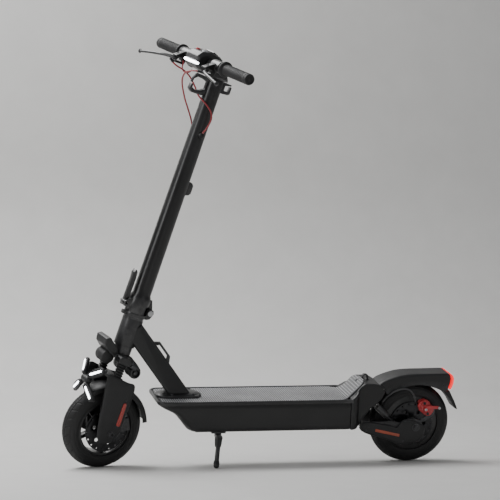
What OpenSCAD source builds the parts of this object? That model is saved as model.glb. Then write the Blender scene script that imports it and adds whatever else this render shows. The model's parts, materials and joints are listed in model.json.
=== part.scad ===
// Electric kick scooter with suspension at both wheels and a folding stem.
// Millimetres. The scooter stands on its kickstand: +Z is up, -X is forwards, -Y is the rider's left.

/* [Stance] */
// Angle the scooter leans over onto its kickstand, degrees
lean = 10.8; // [6:0.2:13]
// Angle the front wheel is turned to the left at rest, degrees
steer_rest = 16.5; // [0:0.5:25]
// Angle of the steering axis back from upright, degrees
rake = 17.3; // [14:0.1:20]
// Distance that centres the scooter's box along X
shift_x = -5; // [-80:0.1:80]
// Distance that centres the scooter's box along Y
shift_y = 221; // [120:0.1:320]

/* [Wheels] */
// Outside radius of both tyres
wheel_r = 127; // [110:1:150]
// Width of both tyres
tyre_w = 60; // [48:1:70]
// Radius where the tyre seats on its rim
bead_r = 86; // [74:1:92]
// Rear axle, distance behind the middle of the deck
rear_axle_x = 475; // [455:1:560]
// Distance of the front axle behind the steering axis
front_trail_x = 19; // [10:1:28]
// Radius of the front axle
axle_r = 8; // [6:0.5:10]
// Radial clearance of every running fit
run_fit = 0.05; // [0.01:0.01:0.1]
// Radius of both brake discs
rotor_r = 68; // [55:1:70]
// Thickness of both brake discs
rotor_t = 2; // [1.6:0.1:2.4]

/* [Deck] */
// Half width of the deck over its rim
deck_half_w = 96; // [85:1:115]
// Height of the deck's standing surface
deck_top_z = 219; // [205:1:240]
// Height of the deck's underside
deck_bottom_z = 124; // [112:1:135]
// Front tip of the deck
deck_front_x = -334; // [-350:1:-320]
// Rear end of the deck tray
deck_rear_x = 262; // [240:1:268]
// Thickness of the deck's rubber mat
mat_t = 4; // [2:0.5:6]
// Width of the raised rim around the mat
rim_w = 9; // [6:1:14]
// Wall of the deck tray
deck_wall = 6; // [4:0.5:8]
// Half width of the tail casting beside the wheel
tail_half_w = 64; // [60:1:70]
// Clearance between fixed pieces
gap = 0.3; // [0.2:0.05:0.5]

/* [Neck] */
// Depth of the down tube
neck_d = 57; // [46:1:64]
// Width of the down tube
neck_w = 54; // [44:1:62]
// Radius of the head tube
head_r = 32; // [29:1:36]
// Lower end of the head tube along the steering axis
head_s0 = 396; // [388:1:404]
// Upper end of the head tube along the steering axis
head_s1 = 482; // [470:1:490]
// Radius of the steerer
steerer_r = 14; // [11:0.5:18]

/* [Fork] */
// Distance of each fork leg from the middle
leg_y = 52; // [50:0.5:58]
// Thickness of each fork leg
leg_t = 24; // [20:1:26]
// Radius of each fork stanchion
stanchion_r = 9; // [7:0.5:10]
// Travel of the front suspension
fork_travel = 18; // [10:1:20]

/* [Stem] */
// Radius at the foot of the stem
stem_r0 = 28; // [24:0.5:31]
// Radius at the top of the stem
stem_r1 = 24.5; // [20:0.5:27]
// Upper end of the stem along the steering axis
stem_top_s = 1240; // [1100:1:1300]
// Fold hinge: distance behind the steering axis
hinge_x = 36; // [34:1:44]
// Fold hinge: distance along the steering axis
hinge_s = 512; // [508:1:520]
// Radius of the fold hinge's pin
hinge_pin_r = 6; // [4:0.5:7]

/* [Handlebar] */
// Half width over the grips
bar_half_w = 286; // [250:1:320]
// Radius of the handlebar tube
bar_r = 11.1; // [9:0.1:13]
// Height of the handlebar above the top of the stem
bar_rise = 40; // [36:1:44]
// Distance of the handlebar in front of the steering axis
bar_reach = 61; // [55:1:68]
// Radius of the grips
grip_r = 16.5; // [14:0.5:19]
// Length of each grip
grip_len = 151; // [120:1:160]

/* [Rear suspension] */
// Swing arm pivot, distance behind the middle of the deck
swing_x = 313; // [306:1:318]
// Swing arm pivot, height
swing_z = 129; // [126:1:136]
// Radius of the swing arm's pivot shaft
swing_r = 10; // [8:0.5:12]
// Distance of each swing arm's inner face from the middle
arm_y = 67; // [65:0.5:72]
// Thickness of each swing arm
arm_t = 8; // [6:0.5:10]
// Radius of the rear axle
rear_axle_r = 7; // [5:0.5:9]

/* [Kickstand] */
// Kickstand hinge, distance in front of the middle of the deck
stand_x = 146; // [120:1:170]
// How far the kickstand's foot stands out to the side on the floor
stand_reach = 125; // [115:1:150]
// Radius of the kickstand's leg
stand_r = 7; // [5:0.5:9]
// Radius of the kickstand's rubber foot
foot_r = 9; // [8:0.5:12]

/* [Hidden] */
$fn = 64;

tyre_r = tyre_w / 2;
ring_r = wheel_r - tyre_r;
big = 400;

// The steering axis meets the floor here.
axis_x = -548.5;

// The front axle's place along the steering axis puts the turned, leaning tyre on the floor.
wheel_nz = sin(lean) * cos(steer_rest) + cos(lean) * sin(steer_rest) * sin(rake);
front_z = (ring_r * sqrt(1 - pow(wheel_nz, 2)) - sin(lean) * front_trail_x * sin(steer_rest))
    / cos(lean) + tyre_r;
front_s = (front_z + front_trail_x * cos(steer_rest) * sin(rake)) / cos(rake);

bar_s = stem_top_s + bar_rise;
mat_z = deck_top_z - mat_t;
shell_half_w = deck_half_w - 4;
shell_top_z = mat_z - 2;

// Leg of the kickstand, from its hinge to its foot, in the deck's own upright frame.
stand_y = -(shell_half_w - 10);
stand_pin_r = 5;
foot_x = -stand_x - 14;
foot_y = -cos(lean) * stand_reach + sin(lean) * (foot_r - tyre_r);
foot_z = tyre_r + cos(lean) * (foot_r - tyre_r) + sin(lean) * stand_reach;

// Shock absorbers: eyes on the tail casting and on the swing arms.
shock_y = 50;
shock_r = 11;
shock_eye_r = 9;
shock_pin_r = 5;
shock_top = [352, 192];
shock_low = [413, 133];
shock_len = norm(shock_low - shock_top);
shock_tilt = atan2(shock_low.x - shock_top.x, shock_low.y - shock_top.y);

// Front fender and light.
fender_r = wheel_r + 9;
fender_t = 4;
fender_half_w = tyre_r + 5;

// Brake lever pivots, measured from the handlebar.
lever_y = 96;
lever_x = -34;
lever_s = -22;
lever_pin_r = 3;

// Places along the cables, chosen by hand: behind the axis, to the right, along the axis.
cable_r = 2.4;
throttle_lead_r = 1.6;
right_cable = [
  [-112, 100, 1250], [-105, 93, 1243], [-94, 84, 1237], [-74, 68, 1231], [-57, 49, 1218],
  [-44, 28, 1197], [-35, 8, 1177], [-28, -13, 1168], [-16, -31, 1157], [-3, -40, 1143],
  [4, -42, 1126], [4, -41, 1108], [1, -38, 1091], [-2, -33, 1076]
];
left_cable = [
  [-112, -100, 1250], [-120, -92, 1249], [-128, -80, 1246], [-133, -64, 1240], [-132, -44, 1230],
  [-122, -22, 1214], [-105, -2, 1195], [-84, 14, 1174], [-62, 27, 1152], [-40, 34, 1130],
  [-20, 38, 1108], [-8, 37, 1090], [-2, 33, 1076]
];
throttle_lead = [
  [-81, 82, 1256], [-81, 77, 1256], [-83, 72, 1249], [-84, 68, 1239], [-80, 63, 1230], [-72, 56, 1228],
  [-66, 49, 1233], [-64, 43, 1242]
];
hose_route = [
  [376, -40, 199], [381, -43, 208], [392, -47, 220], [408, -51, 232], [426, -54, 240],
  [442, -57, 243], [456, -60, 239], [466, -61, 229], [472, -61, 216], [476, -60, 204]
];

// ---------- helpers ----------

// The whole scooter leans about the line where its round tyres touch the floor.
module stood() translate([shift_x, shift_y, tyre_r]) rotate([lean, 0, 0]) translate([0, 0, -tyre_r])
    children();

// Everything that steers: local Z runs up the steering axis and local -X points forwards.
module steered() stood() translate([axis_x, 0, 0]) rotate([0, rake, 0]) rotate([0, 0, steer_rest])
    children();

// A flat plate seen from the side, between two distances from the middle.
module side_plate(points, y0, y1) translate([0, y1, 0]) rotate([90, 0, 0]) linear_extrude(y1 - y0)
    polygon(points);

// A round bar along Y.
module across(r, y0, y1) translate([0, y0, 0]) rotate([-90, 0, 0]) cylinder(r = r, h = y1 - y0);

// A round bar between two points.
module strut(a, b, r) {
  v = b - a;
  len = norm(v);
  translate(a) rotate([0, acos(v.z / len), atan2(v.y, v.x)]) cylinder(r = r, h = len);
}

// The same pieces on the left and on the right.
module both_sides() {
  children();
  mirror([0, 1, 0]) children();
}

// A rectangle with round corners from x0 to x1.
module round_rect(x0, x1, half_w, r) {
  translate([x0 + r, -half_w]) square([x1 - x0 - 2 * r, 2 * half_w]);
  translate([x0, -half_w + r]) square([x1 - x0, 2 * half_w - 2 * r]);
  for (x = [x0 + r, x1 - r], y = [-half_w + r, half_w - r]) translate([x, y]) circle(r = r);
}

// An arc about Y of a profile drawn as radius and width; 0 degrees points back and 90 points up.
module arc_about_y(a0, a1) rotate([90, 0, 0]) rotate([0, 0, a0])
    rotate_extrude(angle = a1 - a0, $fn = 96) children();

module at_front_axle() translate([front_trail_x, 0, front_s]) children();
module at_rear_axle() translate([rear_axle_x, 0, wheel_r]) children();
module at_bar() translate([-bar_reach, 0, bar_s]) children();

// A round tube swept along a route as one closed polyhedron.
function route_dir(p, i) = let (a = p[max(i - 1, 0)], b = p[min(i + 1, len(p) - 1)]) (b - a)
    / norm(b - a);
function route_side(d) = let (s = cross(d, [0.31, 0.17, 0.93])) s / norm(s);
function tube_ring(p, i, r, n) = let (d = route_dir(p, i), u = route_side(d), v = cross(d, u))
  [for (k = [0:n - 1]) p[i] + r * (cos(360 * k / n) * u + sin(360 * k / n) * v)];
module tube_along(p, r, n = 8) {
  rings = len(p);
  points = [for (i = [0:rings - 1]) each tube_ring(p, i, r, n)];
  sides = [for (i = [0:rings - 2], k = [0:n - 1])
    [i * n + k, (i + 1) * n + k, (i + 1) * n + (k + 1) % n, i * n + (k + 1) % n]];
  caps = [[for (k = [0:n - 1]) k], [for (k = [n - 1:-1:0]) (rings - 1) * n + k]];
  polyhedron(points = points, faces = concat(sides, caps), convexity = 8);
}

// A tyre with a round section, cut flat where it seats on the rim.
module tyre() rotate([90, 0, 0]) rotate_extrude($fn = 128) difference() {
  translate([ring_r, 0]) circle(r = tyre_r);
  translate([0, -tyre_w]) square([bead_r, 2 * tyre_w]);
}

// A brake disc with a ring of slots, on a carrier that bolts to the hub.
module rotor(bore_r, y0) difference() {
  across(rotor_r, y0, y0 + rotor_t);
  across(bore_r, y0 - 1, y0 + rotor_t + 1);
  for (a = [0:60:359]) rotate([0, a, 0]) translate([(bore_r + rotor_r) / 2 - 4, 0, 0])
      across(6, y0 - 1, y0 + rotor_t + 1);
  for (a = [0:20:359]) rotate([0, a, 0]) translate([rotor_r - 6, 0, 0])
      across(2.5, y0 - 1, y0 + rotor_t + 1);
}

// ---------- deck ----------

deck_side = [
  [deck_front_x, shell_top_z], [deck_front_x + 6, deck_top_z - 14], [deck_front_x + 53, deck_top_z - 38],
  [deck_front_x + 91, deck_bottom_z + 8], [deck_front_x + 106, deck_bottom_z],
      [deck_rear_x, deck_bottom_z],
  [deck_rear_x, shell_top_z]
];
bay_x0 = deck_front_x + 116;
bay_x1 = deck_rear_x - deck_wall - 4;
bay_half_w = shell_half_w - deck_wall - 6;
bay_top_z = shell_top_z - deck_wall;
cover_t = 4;
cover_screw_r = 2.6;
cover_screws_x = [bay_x0 + 12, bay_x1 - 12];
cover_screws_y = [-bay_half_w + 12, bay_half_w - 12];

module deck_shell() color("#16171a") stood() difference() {
  intersection() {
    side_plate(deck_side, -shell_half_w, shell_half_w);
    translate([0, 0, deck_bottom_z - 1]) linear_extrude(big) round_rect(deck_front_x, deck_rear_x + 30,
        shell_half_w, 26);
  }
  translate([bay_x0, -bay_half_w, deck_bottom_z - 1]) cube([bay_x1 - bay_x0, 2 * bay_half_w,
      bay_top_z - deck_bottom_z + 1]);
  for (x = flange_bolts_x, y = flange_bolts_y) translate([x, y, shell_top_z - deck_wall - 1])
      cylinder(r = bolt_r, h = big);
}

module deck_rim() color("#3b3d42") stood() translate([0, 0, shell_top_z]) difference() {
  linear_extrude(deck_top_z + 2 - shell_top_z) round_rect(deck_front_x - 2, deck_rear_x, deck_half_w, 30);
  translate([0, 0, -1]) linear_extrude(big) round_rect(deck_front_x + rim_w, deck_rear_x - 3,
      deck_half_w - rim_w, 20);
}

mat_x0 = deck_front_x + rim_w + gap;
mat_half_w = deck_half_w - rim_w - gap;
flange_x0 = -304;
flange_x1 = -200;
flange_half_w = 42;
flange_t = 14;

module deck_mat() color("#55575b") stood() {
  translate([0, 0, shell_top_z]) difference() {
    linear_extrude(deck_top_z - shell_top_z) round_rect(mat_x0, deck_rear_x - 3 - gap, mat_half_w, 19);
    translate([0, 0, -1]) linear_extrude(big) round_rect(flange_x0 - gap, flange_x1 + gap,
        flange_half_w + gap, 16);
  }
  kick_layer(0, mat_t, kick_half_w);
}

module bottom_cover() color("#1b1c1f") stood() translate([0, 0, deck_bottom_z]) difference() {
  translate([bay_x0 + gap, -bay_half_w + gap, 0]) cube([bay_x1 - bay_x0 - 2 * gap,
      2 * (bay_half_w - gap), cover_t]);
  for (x = cover_screws_x, y = cover_screws_y) translate([x, y, -1])
      cylinder(r = cover_screw_r, h = cover_t + 2);
}

pack_len = 330;
module battery_pack() color("#2d4a7c") stood()
  translate([bay_x1 - pack_len - 8, -bay_half_w + 4, deck_bottom_z + cover_t + 2])
    cube([pack_len, 2 * bay_half_w - 8, bay_top_z - deck_bottom_z - cover_t - 6]);

module motor_controller() color("#8d9096") stood() {
  translate([bay_x0 + 6, -38, deck_bottom_z + cover_t + 1]) cube([110, 76, 34]);
  for (k = [0:7]) translate([bay_x0 + 12 + 13 * k, -34, deck_bottom_z + cover_t + 35]) cube([4, 68, 10]);
}

flange_bolts_x = [-284, -220];
flange_bolts_y = [-35, 35];
bolt_r = 3;
bolt_head_r = 6;

// The neck: a down tube from the deck's flange to the head tube, with a lock loop on its upper face.
neck_angle = 144;
neck_top = [-404, 0, 427];
module neck_frame() color("#26282c") stood() difference() {
  union() {
    difference() {
      translate(neck_top) rotate([0, neck_angle, 0]) neck_body();
      translate([-big, -big / 2, shell_top_z - big]) cube([2 * big, big, big]);
    }
    translate([0, 0, shell_top_z]) linear_extrude(flange_t) round_rect(flange_x0, flange_x1,
        flange_half_w, 16);
    translate([axis_x, 0, 0]) rotate([0, rake, 0]) translate([0, 0, head_s0])
        cylinder(r = head_r, h = head_s1 - head_s0);
  }
  translate([axis_x, 0, 0]) rotate([0, rake, 0]) translate([0, 0, head_s0 - 30])
      cylinder(r = cup_r, h = head_s1 - head_s0 + 60);
  for (x = flange_bolts_x, y = flange_bolts_y) translate([x, y, shell_top_z - 1])
      cylinder(r = bolt_r, h = flange_t + 2);
}
module neck_body() {
  linear_extrude(280) difference() {
    union() {
      square([neck_d - 16, neck_w], center = true);
      square([neck_d, neck_w - 16], center = true);
      for (x = [-1, 1], y = [-1, 1]) translate([x * (neck_d / 2 - 8), y * (neck_w / 2 - 8)])
          circle(r = 8);
    }
    square([neck_d - 20, neck_w - 20], center = true);
  }
  translate([-neck_d / 2 + 1, 5, 70]) rotate([90, 0, 0]) linear_extrude(10) difference() {
    polygon([[0, 0], [-16, 12], [-16, 66], [0, 84]]);
    polygon([[-1, 14], [-9, 18], [-9, 60], [-1, 68]]);
  }
}

cup_r = 26;
module headset_cups() color("#101113") stood() translate([axis_x, 0, 0]) rotate([0, rake, 0]) {
  cup_ring(head_s0 - 24, 24, cup_r + 1.5);
  cup_ring(head_s0, 16, cup_r);
  cup_ring(head_s1 - 16, 16, cup_r);
  cup_ring(head_s1, 7, cup_r + 5);
}
module cup_ring(s, h, r) translate([0, 0, s]) difference() {
  cylinder(r = r, h = h);
  translate([0, 0, -1]) cylinder(r = steerer_r + run_fit, h = h + 2);
}

module deck_screws() color("#9b9ea3") stood() {
  for (x = flange_bolts_x, y = flange_bolts_y) translate([x, y, 0]) {
    translate([0, 0, shell_top_z + flange_t]) cylinder(r = bolt_head_r, h = 5);
    translate([0, 0, shell_top_z - deck_wall + 0.5]) cylinder(r = bolt_r, h = flange_t + deck_wall);
  }
  for (x = cover_screws_x, y = cover_screws_y) translate([x, y, deck_bottom_z])
    cylinder(r = cover_screw_r, h = cover_t);
}

// ---------- tail ----------

kick_z = deck_top_z + 43;
// Half width of the sloping kick plate and its mat.
kick_half_w = 56;
tail_side = [
  [deck_rear_x + gap, deck_bottom_z], [293, deck_bottom_z + 2], [308, 148], [332, 182], [366, 210],
  [378, 234], [371, 250], [356, kick_z - 3], [336, kick_z], [312, kick_z], [301, kick_z - 8],
  [279, kick_z - 32], [deck_rear_x + gap, kick_z - 43]
];
// Radius of the space around the rear tyre.
well_r = wheel_r + 7;
// Height that the rear wheel rises at the end of its travel.
rear_rise = 20;
// Front edge of the loop that the stem's hook meets when folded.
loop_x = 317;

// The space that the rear wheel sweeps as it rises.
module wheel_well(half_w) for (z = [0, rear_rise]) translate([rear_axle_x - z / 20, 0, wheel_r + z])
    across(well_r, -half_w, half_w);

// A layer that follows the kick plate's slope, from one height above it to another.
module kick_layer(z0, z1, half_w) side_plate([
  [272, kick_z - 34 + z0], [301, kick_z - 8 + z0], [312, kick_z + z0], [316, kick_z + z0],
  [316, kick_z + z1], [309, kick_z + z1], [298, kick_z - 7 + z1], [269, kick_z - 34 + z1]
], -half_w, half_w);

// One side of the casting's shoulders in plan, from the deck's full width in to the tail.
shoulder_plan = [
  [deck_rear_x - 20, shell_half_w], [deck_rear_x + 8, shell_half_w], [deck_rear_x + 17, shell_half_w - 3],
  [deck_rear_x + 25, (shell_half_w + tail_half_w) / 2 + 3], [deck_rear_x + 30, tail_half_w + 3],
  [deck_rear_x + 32, tail_half_w - 1]
];
module rear_casting() color("#1d1e21") stood() difference() {
  union() {
    side_plate(tail_side, -tail_half_w, tail_half_w);
    intersection() {
      side_plate(tail_side, -shell_half_w, shell_half_w);
      translate([0, 0, deck_bottom_z - 1]) linear_extrude(big) polygon(concat(shoulder_plan,
          [for (i = [len(shoulder_plan) - 1:-1:0]) [shoulder_plan[i].x, -shoulder_plan[i].y]]));
    }
    latch_loop();
  }
  wheel_well(41);
  both_sides() difference() {
    side_plate([[342, 150], [341, 190], [349, 208], [372, 212], [400, 180], [400, 100]],
        33, shock_y + shock_r + gap);
    translate([shock_top.x, 0, shock_top.y]) across(shock_pin_r, shock_y - 9, big);
    translate([shock_top.x, 0, shock_top.y]) across(7, shock_y + 8 + gap, big);
  }
  translate([swing_x, 0, swing_z]) across(swing_r + run_fit, -big, big);
  kick_cut();
}
module kick_cut() side_plate([
  [272, kick_z - 34], [301, kick_z - 8], [312, kick_z], [316, kick_z], [316, kick_z + 20],
  [240, kick_z + 20], [240, kick_z - 34]
], -kick_half_w, kick_half_w);
module latch_loop() translate([loop_x, 8, kick_z - 1]) rotate([90, 0, 0]) linear_extrude(16)
    difference() {
  polygon([[0, 0], [0, 14], [5, 19], [15, 19], [20, 14], [20, 0]]);
  polygon([[4, -1], [4, 13], [7, 15], [13, 15], [16, 13], [16, -1]]);
}

fender_top_z = wheel_r * 2 + 31;
fender_half = 44;
fender_outer = [
  [378.5, 240], [372.2, 251], [360, 259], [384, 268], [408, fender_top_z - 10], [434, fender_top_z - 3],
  [466, fender_top_z], [586, fender_top_z + 1], [596, fender_top_z - 3], [603, 270], [601, 255],
  [596, 233], [584, 226],
  [549, 241], [516, 249], [483, 251], [451, 246], [424, 236], [404, 226], [390, 222]
];
fender_inner = [
  [392, 250], [412, fender_top_z - 17], [440, fender_top_z - 9], [470, fender_top_z - 6],
  [582, fender_top_z - 6], [592, fender_top_z - 11], [596, 266], [595, 250], [590, 200], [380, 200],
  [382, 236]
];
module rear_fender() color("#202226") stood() difference() {
  side_plate(fender_outer, -fender_half, fender_half);
  side_plate(fender_inner, -fender_half + 4, fender_half - 4);
  wheel_well(tyre_r + 5);
  side_plate([[595.5, 272], [598, 280], [630, 280], [630, 230], [594, 237]], -30, 30);
}

module tail_light() color("#c0182b") stood() side_plate([
  [595.8, 272], [598.1, 279.6], [602, 278], [605, 268], [603, 254], [599, 238], [594.6, 238.5],
  [595.4, 255]
], -29.7, 29.7);

module mud_flap() color("#1a1b1d") stood() side_plate([
  [585, 225.5], [594, 229], [612, 196], [624, 168], [616, 171], [600, 198], [578, 224]
], -30, 30);

module stand_bracket() color("#2a2c2f") stood() translate([-stand_x, 0, 0]) difference() {
  union() {
    translate([-22, stand_y + 2, deck_bottom_z - 5]) cube([44, 34, 5]);
    translate([-9, stand_y + 4, stand_hinge_z]) cube([18, 20, 12]);
    translate([0, 0, stand_hinge_z]) across(9, stand_y + 4, stand_y + 24);
  }
  translate([0, 0, stand_hinge_z]) across(stand_pin_r + run_fit, stand_y - 20, stand_y + 60);
}

flap_x = 190;
module charge_flap() color("#2b2d30") stood() translate([flap_x, shell_half_w + gap, 180]) {
  translate([-14, 0, -9]) cube([28, 3, 18]);
  translate([-14, 3, 9]) rotate([0, 90, 0]) cylinder(r = 2.4, h = 28);
}

// ---------- kickstand ----------

stand_hinge_z = deck_bottom_z - 16;
module stand_leg() color("#202124") stood() {
  translate([-stand_x, 0, stand_hinge_z]) across(stand_pin_r, stand_y - 10, stand_y + 27);
  translate([-stand_x, 0, stand_hinge_z]) across(10, stand_y - 11, stand_y + 3.6);
  strut([-stand_x, stand_y - 4, stand_hinge_z], [foot_x, foot_y, foot_z], stand_r);
  translate([foot_x, foot_y, foot_z]) sphere(r = foot_r);
}

// ---------- fork and steering ----------

crown_side = [
  [-82, 408], [-68, 414], [-34, 386], [-30, 371.5], [20, 371.5], [50, 352], [66, 338], [66, 322],
  [46, 326], [10, 342], [-30, 356], [-62, 372], [-80, 388]
];
stanchion_x = -15;
stanchion_s = 205;
module fork_crown() color("#3a3d42") steered() {
  side_plate(crown_side, -34, 34);
  both_sides() side_plate([[-33, 350], [-33, 366], [-24, 371], [0, 371], [9, 362], [9, 345], [-4, 345]],
      33, leg_y + 13);
  both_sides() translate([stanchion_x, leg_y, stanchion_s]) cylinder(r = stanchion_r,
      h = 352 - stanchion_s);
  cylinder_at(371, steerer_r, hinge_base_s - 371);
}
module cylinder_at(s, r, h) translate([0, 0, s]) cylinder(r = r, h = h);

damper_r = 11;
module crown_dampers() color("#9a9da3") steered() both_sides() {
  translate([9, leg_y + 1, 353]) rotate([0, 90, 0]) cylinder(r = damper_r - 4, h = 7);
  translate([14, leg_y + 1, 352]) rotate([0, 112, 0]) cylinder(r = damper_r, h = 20);
}

hinge_base_s = head_s1 + 8;
hinge_base_top = 501;
lug_y = 16;
module hinge_collar() color("#17181b") steered() difference() {
  union() {
    cylinder_at(hinge_base_s, 35, hinge_base_top - hinge_base_s);
    both_sides() side_plate([[10, hinge_base_s], [10, hinge_base_top], [24, hinge_base_top],
        [hinge_x - 8, hinge_s + 10],
      [hinge_x + 8, hinge_s + 10], [hinge_x + 12, hinge_s], [hinge_x + 4, hinge_base_s + 4],
          [30, hinge_base_s]], lug_y, lug_y + 10);
    translate([-44, -7, hinge_base_s]) cube([16, 14, hinge_base_top - hinge_base_s]);
  }
  translate([hinge_x, 0, hinge_s]) across(hinge_pin_r, -40, 40);
}

module hinge_pin() color("#b9bcc2") steered() translate([hinge_x, 0, hinge_s]) {
  across(hinge_pin_r, -lug_y - 10, lug_y + 10);
  both_sides() across(hinge_pin_r + 3, lug_y + 10, lug_y + 13);
}

lever_hinge = [-47, 524];
clamp_pin_r = 4;
module fold_lever() color("#2a2c30") steered() difference() {
  union() {
    side_plate([[-52, 516], [-43, 516], [-41, 530], [-40, 600], [-42, 622], [-49, 628], [-54, 618],
        [-52, 600], [-53, 530]], -8.5, 8.5);
    translate([lever_hinge.x, 0, lever_hinge.y]) across(9, -8.5, 8.5);
  }
  translate([lever_hinge.x, 0, lever_hinge.y]) across(clamp_pin_r + run_fit, -20, 20);
}

leg_side = [
  [-40, 296], [36, 288], [42, 230], [44, front_s + 10], [34, front_s - 18], [14, front_s - 26],
  [-2, front_s - 22], [-20, 152], [-34, 225]
];
cover_side = [
  [-54, 300], [-48, 311], [-20, 306], [20, 299], [46, 292], [50, 232], [48, 168], [49, 145],
  [32, 112], [6, 101], [-18, 112], [-30, 150], [-42, 230]
];
module fork_legs() color("#2b2d31") steered() difference() {
  union() {
    both_sides() side_plate(leg_side, leg_y - leg_t / 2, leg_y + leg_t / 2);
    side_plate([[-28, 291], [-28, 303], [8, 303], [8, 291]], -leg_y, leg_y);
  }
  both_sides() translate([stanchion_x, leg_y, stanchion_s - fork_travel - 5])
      cylinder(r = stanchion_r + run_fit, h = 200);
  at_front_axle() across(axle_r, -big, big);
}

module leg_covers() color("#3e4146") steered() difference() {
  both_sides() side_plate(cover_side, leg_y + leg_t / 2, leg_y + leg_t / 2 + 6);
  both_sides() side_plate([[31, 165], [38, 165], [37, 236], [30, 236]], leg_y + leg_t / 2 + 4, big);
  at_front_axle() across(14, -big, big);
}

module leg_reflectors() color("#c3262c") steered()
  both_sides() side_plate([[31, 165], [38, 165], [37, 236], [30, 236]],
      leg_y + leg_t / 2 + 4, leg_y + leg_t / 2 + 7);

module front_fender() color("#1f2125") steered() at_front_axle() arc_about_y(22, 131) polygon([
  [fender_r - 14, -fender_half_w], [fender_r, -fender_half_w], [fender_r + fender_t, -fender_half_w + 10],
  [fender_r + fender_t, fender_half_w - 10], [fender_r, fender_half_w], [fender_r - 14, fender_half_w],
  [fender_r - 14, fender_half_w - 2.5], [fender_r - 2, fender_half_w - 2.5],
      [fender_r, fender_half_w - 12],
  [fender_r, -fender_half_w + 12], [fender_r - 2, -fender_half_w + 2.5],
      [fender_r - 14, -fender_half_w + 2.5]
]);

// The front light: four arms in an X, each with a light bar on its face.
light_x = -84;
light_s = 269;
module light_arm(up) hull() {
  translate([light_x, 16, light_s + up * 12]) sphere(r = 7, $fn = 24);
  translate([light_x + (up > 0 ? 20 : 12), 62, light_s + up * 47]) sphere(r = 5, $fn = 24);
}
module light_frame() color("#2c2e32") steered() difference() {
  union() {
    both_sides() for (up = [-1, 1]) light_arm(up);
    hull() for (y = [-12, 12]) translate([light_x, y, light_s]) sphere(r = 12, $fn = 24);
  }
  both_sides() side_plate(cover_side, leg_y + leg_t / 2 - gap, big);
  both_sides() side_plate(leg_side, leg_y - leg_t / 2 - gap, big);
}

module light_bars() color("white") steered() both_sides() for (up = [-1, 1])
  translate([light_x + (up > 0 ? 5.2 : 1.6), 37, light_s + up * 29]) rotate([up * 37, 0, 0])
    rotate([0, 0, up > 0 ? -19 : -12]) translate([-9, -20, -4]) cube([4, 40, 8]);

module front_axle() color("#a8abb1") steered() at_front_axle() {
  across(axle_r, -leg_y - leg_t / 2, leg_y + leg_t / 2);
  both_sides() across(12, leg_y + leg_t / 2, leg_y + leg_t / 2 + 8);
}

module front_caliper() color("#1c1d20") steered() at_front_axle() rotate([0, -28, 0]) difference() {
  translate([46, -39.5, -20]) cube([30, 15, 40]);
  translate([40, -33.5 - 1, -30]) cube([rotor_r - 40 + 2, rotor_t + 2, 60]);
}

// ---------- front wheel ----------

hub_half_w = 27;
module front_tyre() color("#141414") steered() at_front_axle() tyre();
module front_rim() color("#191a1c") steered() at_front_axle() difference() {
  union() {
    difference() {
      across(bead_r, -24, 24);
      across(bead_r - 8, -25, 25);
    }
    across(24, -hub_half_w, hub_half_w);
    for (k = [0:4]) rotate([0, 72 * k, 0]) translate([18, -9, -6]) cube([bead_r - 24, 18, 12]);
  }
  across(axle_r + run_fit, -40, 40);
}
rotor_y = -33.5;
module front_rotor() color("#8f9296") steered() at_front_axle() {
  rotor(axle_r + 14, rotor_y);
  difference() {
    across(axle_r + 14, rotor_y, -hub_half_w);
    across(axle_r + run_fit, -40, 0);
  }
}

// ---------- stem ----------

stem_foot_s = hinge_base_top + gap;
// The tapered outside of the stem.
module stem_outer() translate([0, 0, stem_foot_s + 60])
  cylinder(r1 = stem_r0, r2 = stem_r1, h = stem_top_s - stem_foot_s - 60);

module stem_tube() color("#0f1013") steered() difference() {
  union() {
    cylinder_at(stem_foot_s, 34, 44);
    translate([0, 0, stem_foot_s + 44]) cylinder(r1 = 34, r2 = stem_r0, h = 16);
    stem_outer();
    side_plate([[10, stem_foot_s], [10, 550], [hinge_x - 2, 550], [hinge_x + 9, hinge_s + 8],
        [hinge_x + 11, hinge_s],
      [hinge_x + 7.4, hinge_s - 7.4], [hinge_x, hinge_s - 10.5]], -lug_y + gap, lug_y - gap);
    both_sides() side_plate([[-20, 508], [-52, 514], [-55, 528], [-40, 540], [-20, 540]], 9, 15);
    side_plate([[20, 880], [36, 884], [42, 890], [42, 914], [36, 922], [20, 926]], -8, 8);
  }
  both_sides() side_plate([[12, 480], [12, 526], [26, 530], [60, 530], [60, 480]], lug_y - gap, 40);
  translate([hinge_x, 0, hinge_s]) across(hinge_pin_r + run_fit, -40, 40);
  translate([lever_hinge.x, 0, lever_hinge.y]) across(clamp_pin_r + run_fit, -20, 20);
  translate([-60, -8.8, 500]) cube([28, 17.6, 60]);
  translate([0, 0, 560]) cylinder(r = stem_r1 - 4, h = stem_top_s);
  translate([-2, 0, grommet_s]) across(grommet_r, -40, 40);
}
grommet_r = 6;
grommet_s = 1068;

module stem_hook() color("#141517") steered() difference() {
  side_plate([[14, 1206], [30, 1203], [50, 1204], [57, 1208], [57, 1229], [52.5, 1229], [51, 1213],
      [34, 1213],
    [34, 1229], [54, 1232], [54, 1236], [30, 1238], [14, 1232]], -6.5, 6.5);
  stem_outer();
}

module handlebar() color("#17181a") steered() at_bar() difference() {
  across(bar_r, -bar_half_w + 4, bar_half_w - 4);
  across(bar_r - 2.5, -bar_half_w, bar_half_w);
}

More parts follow.
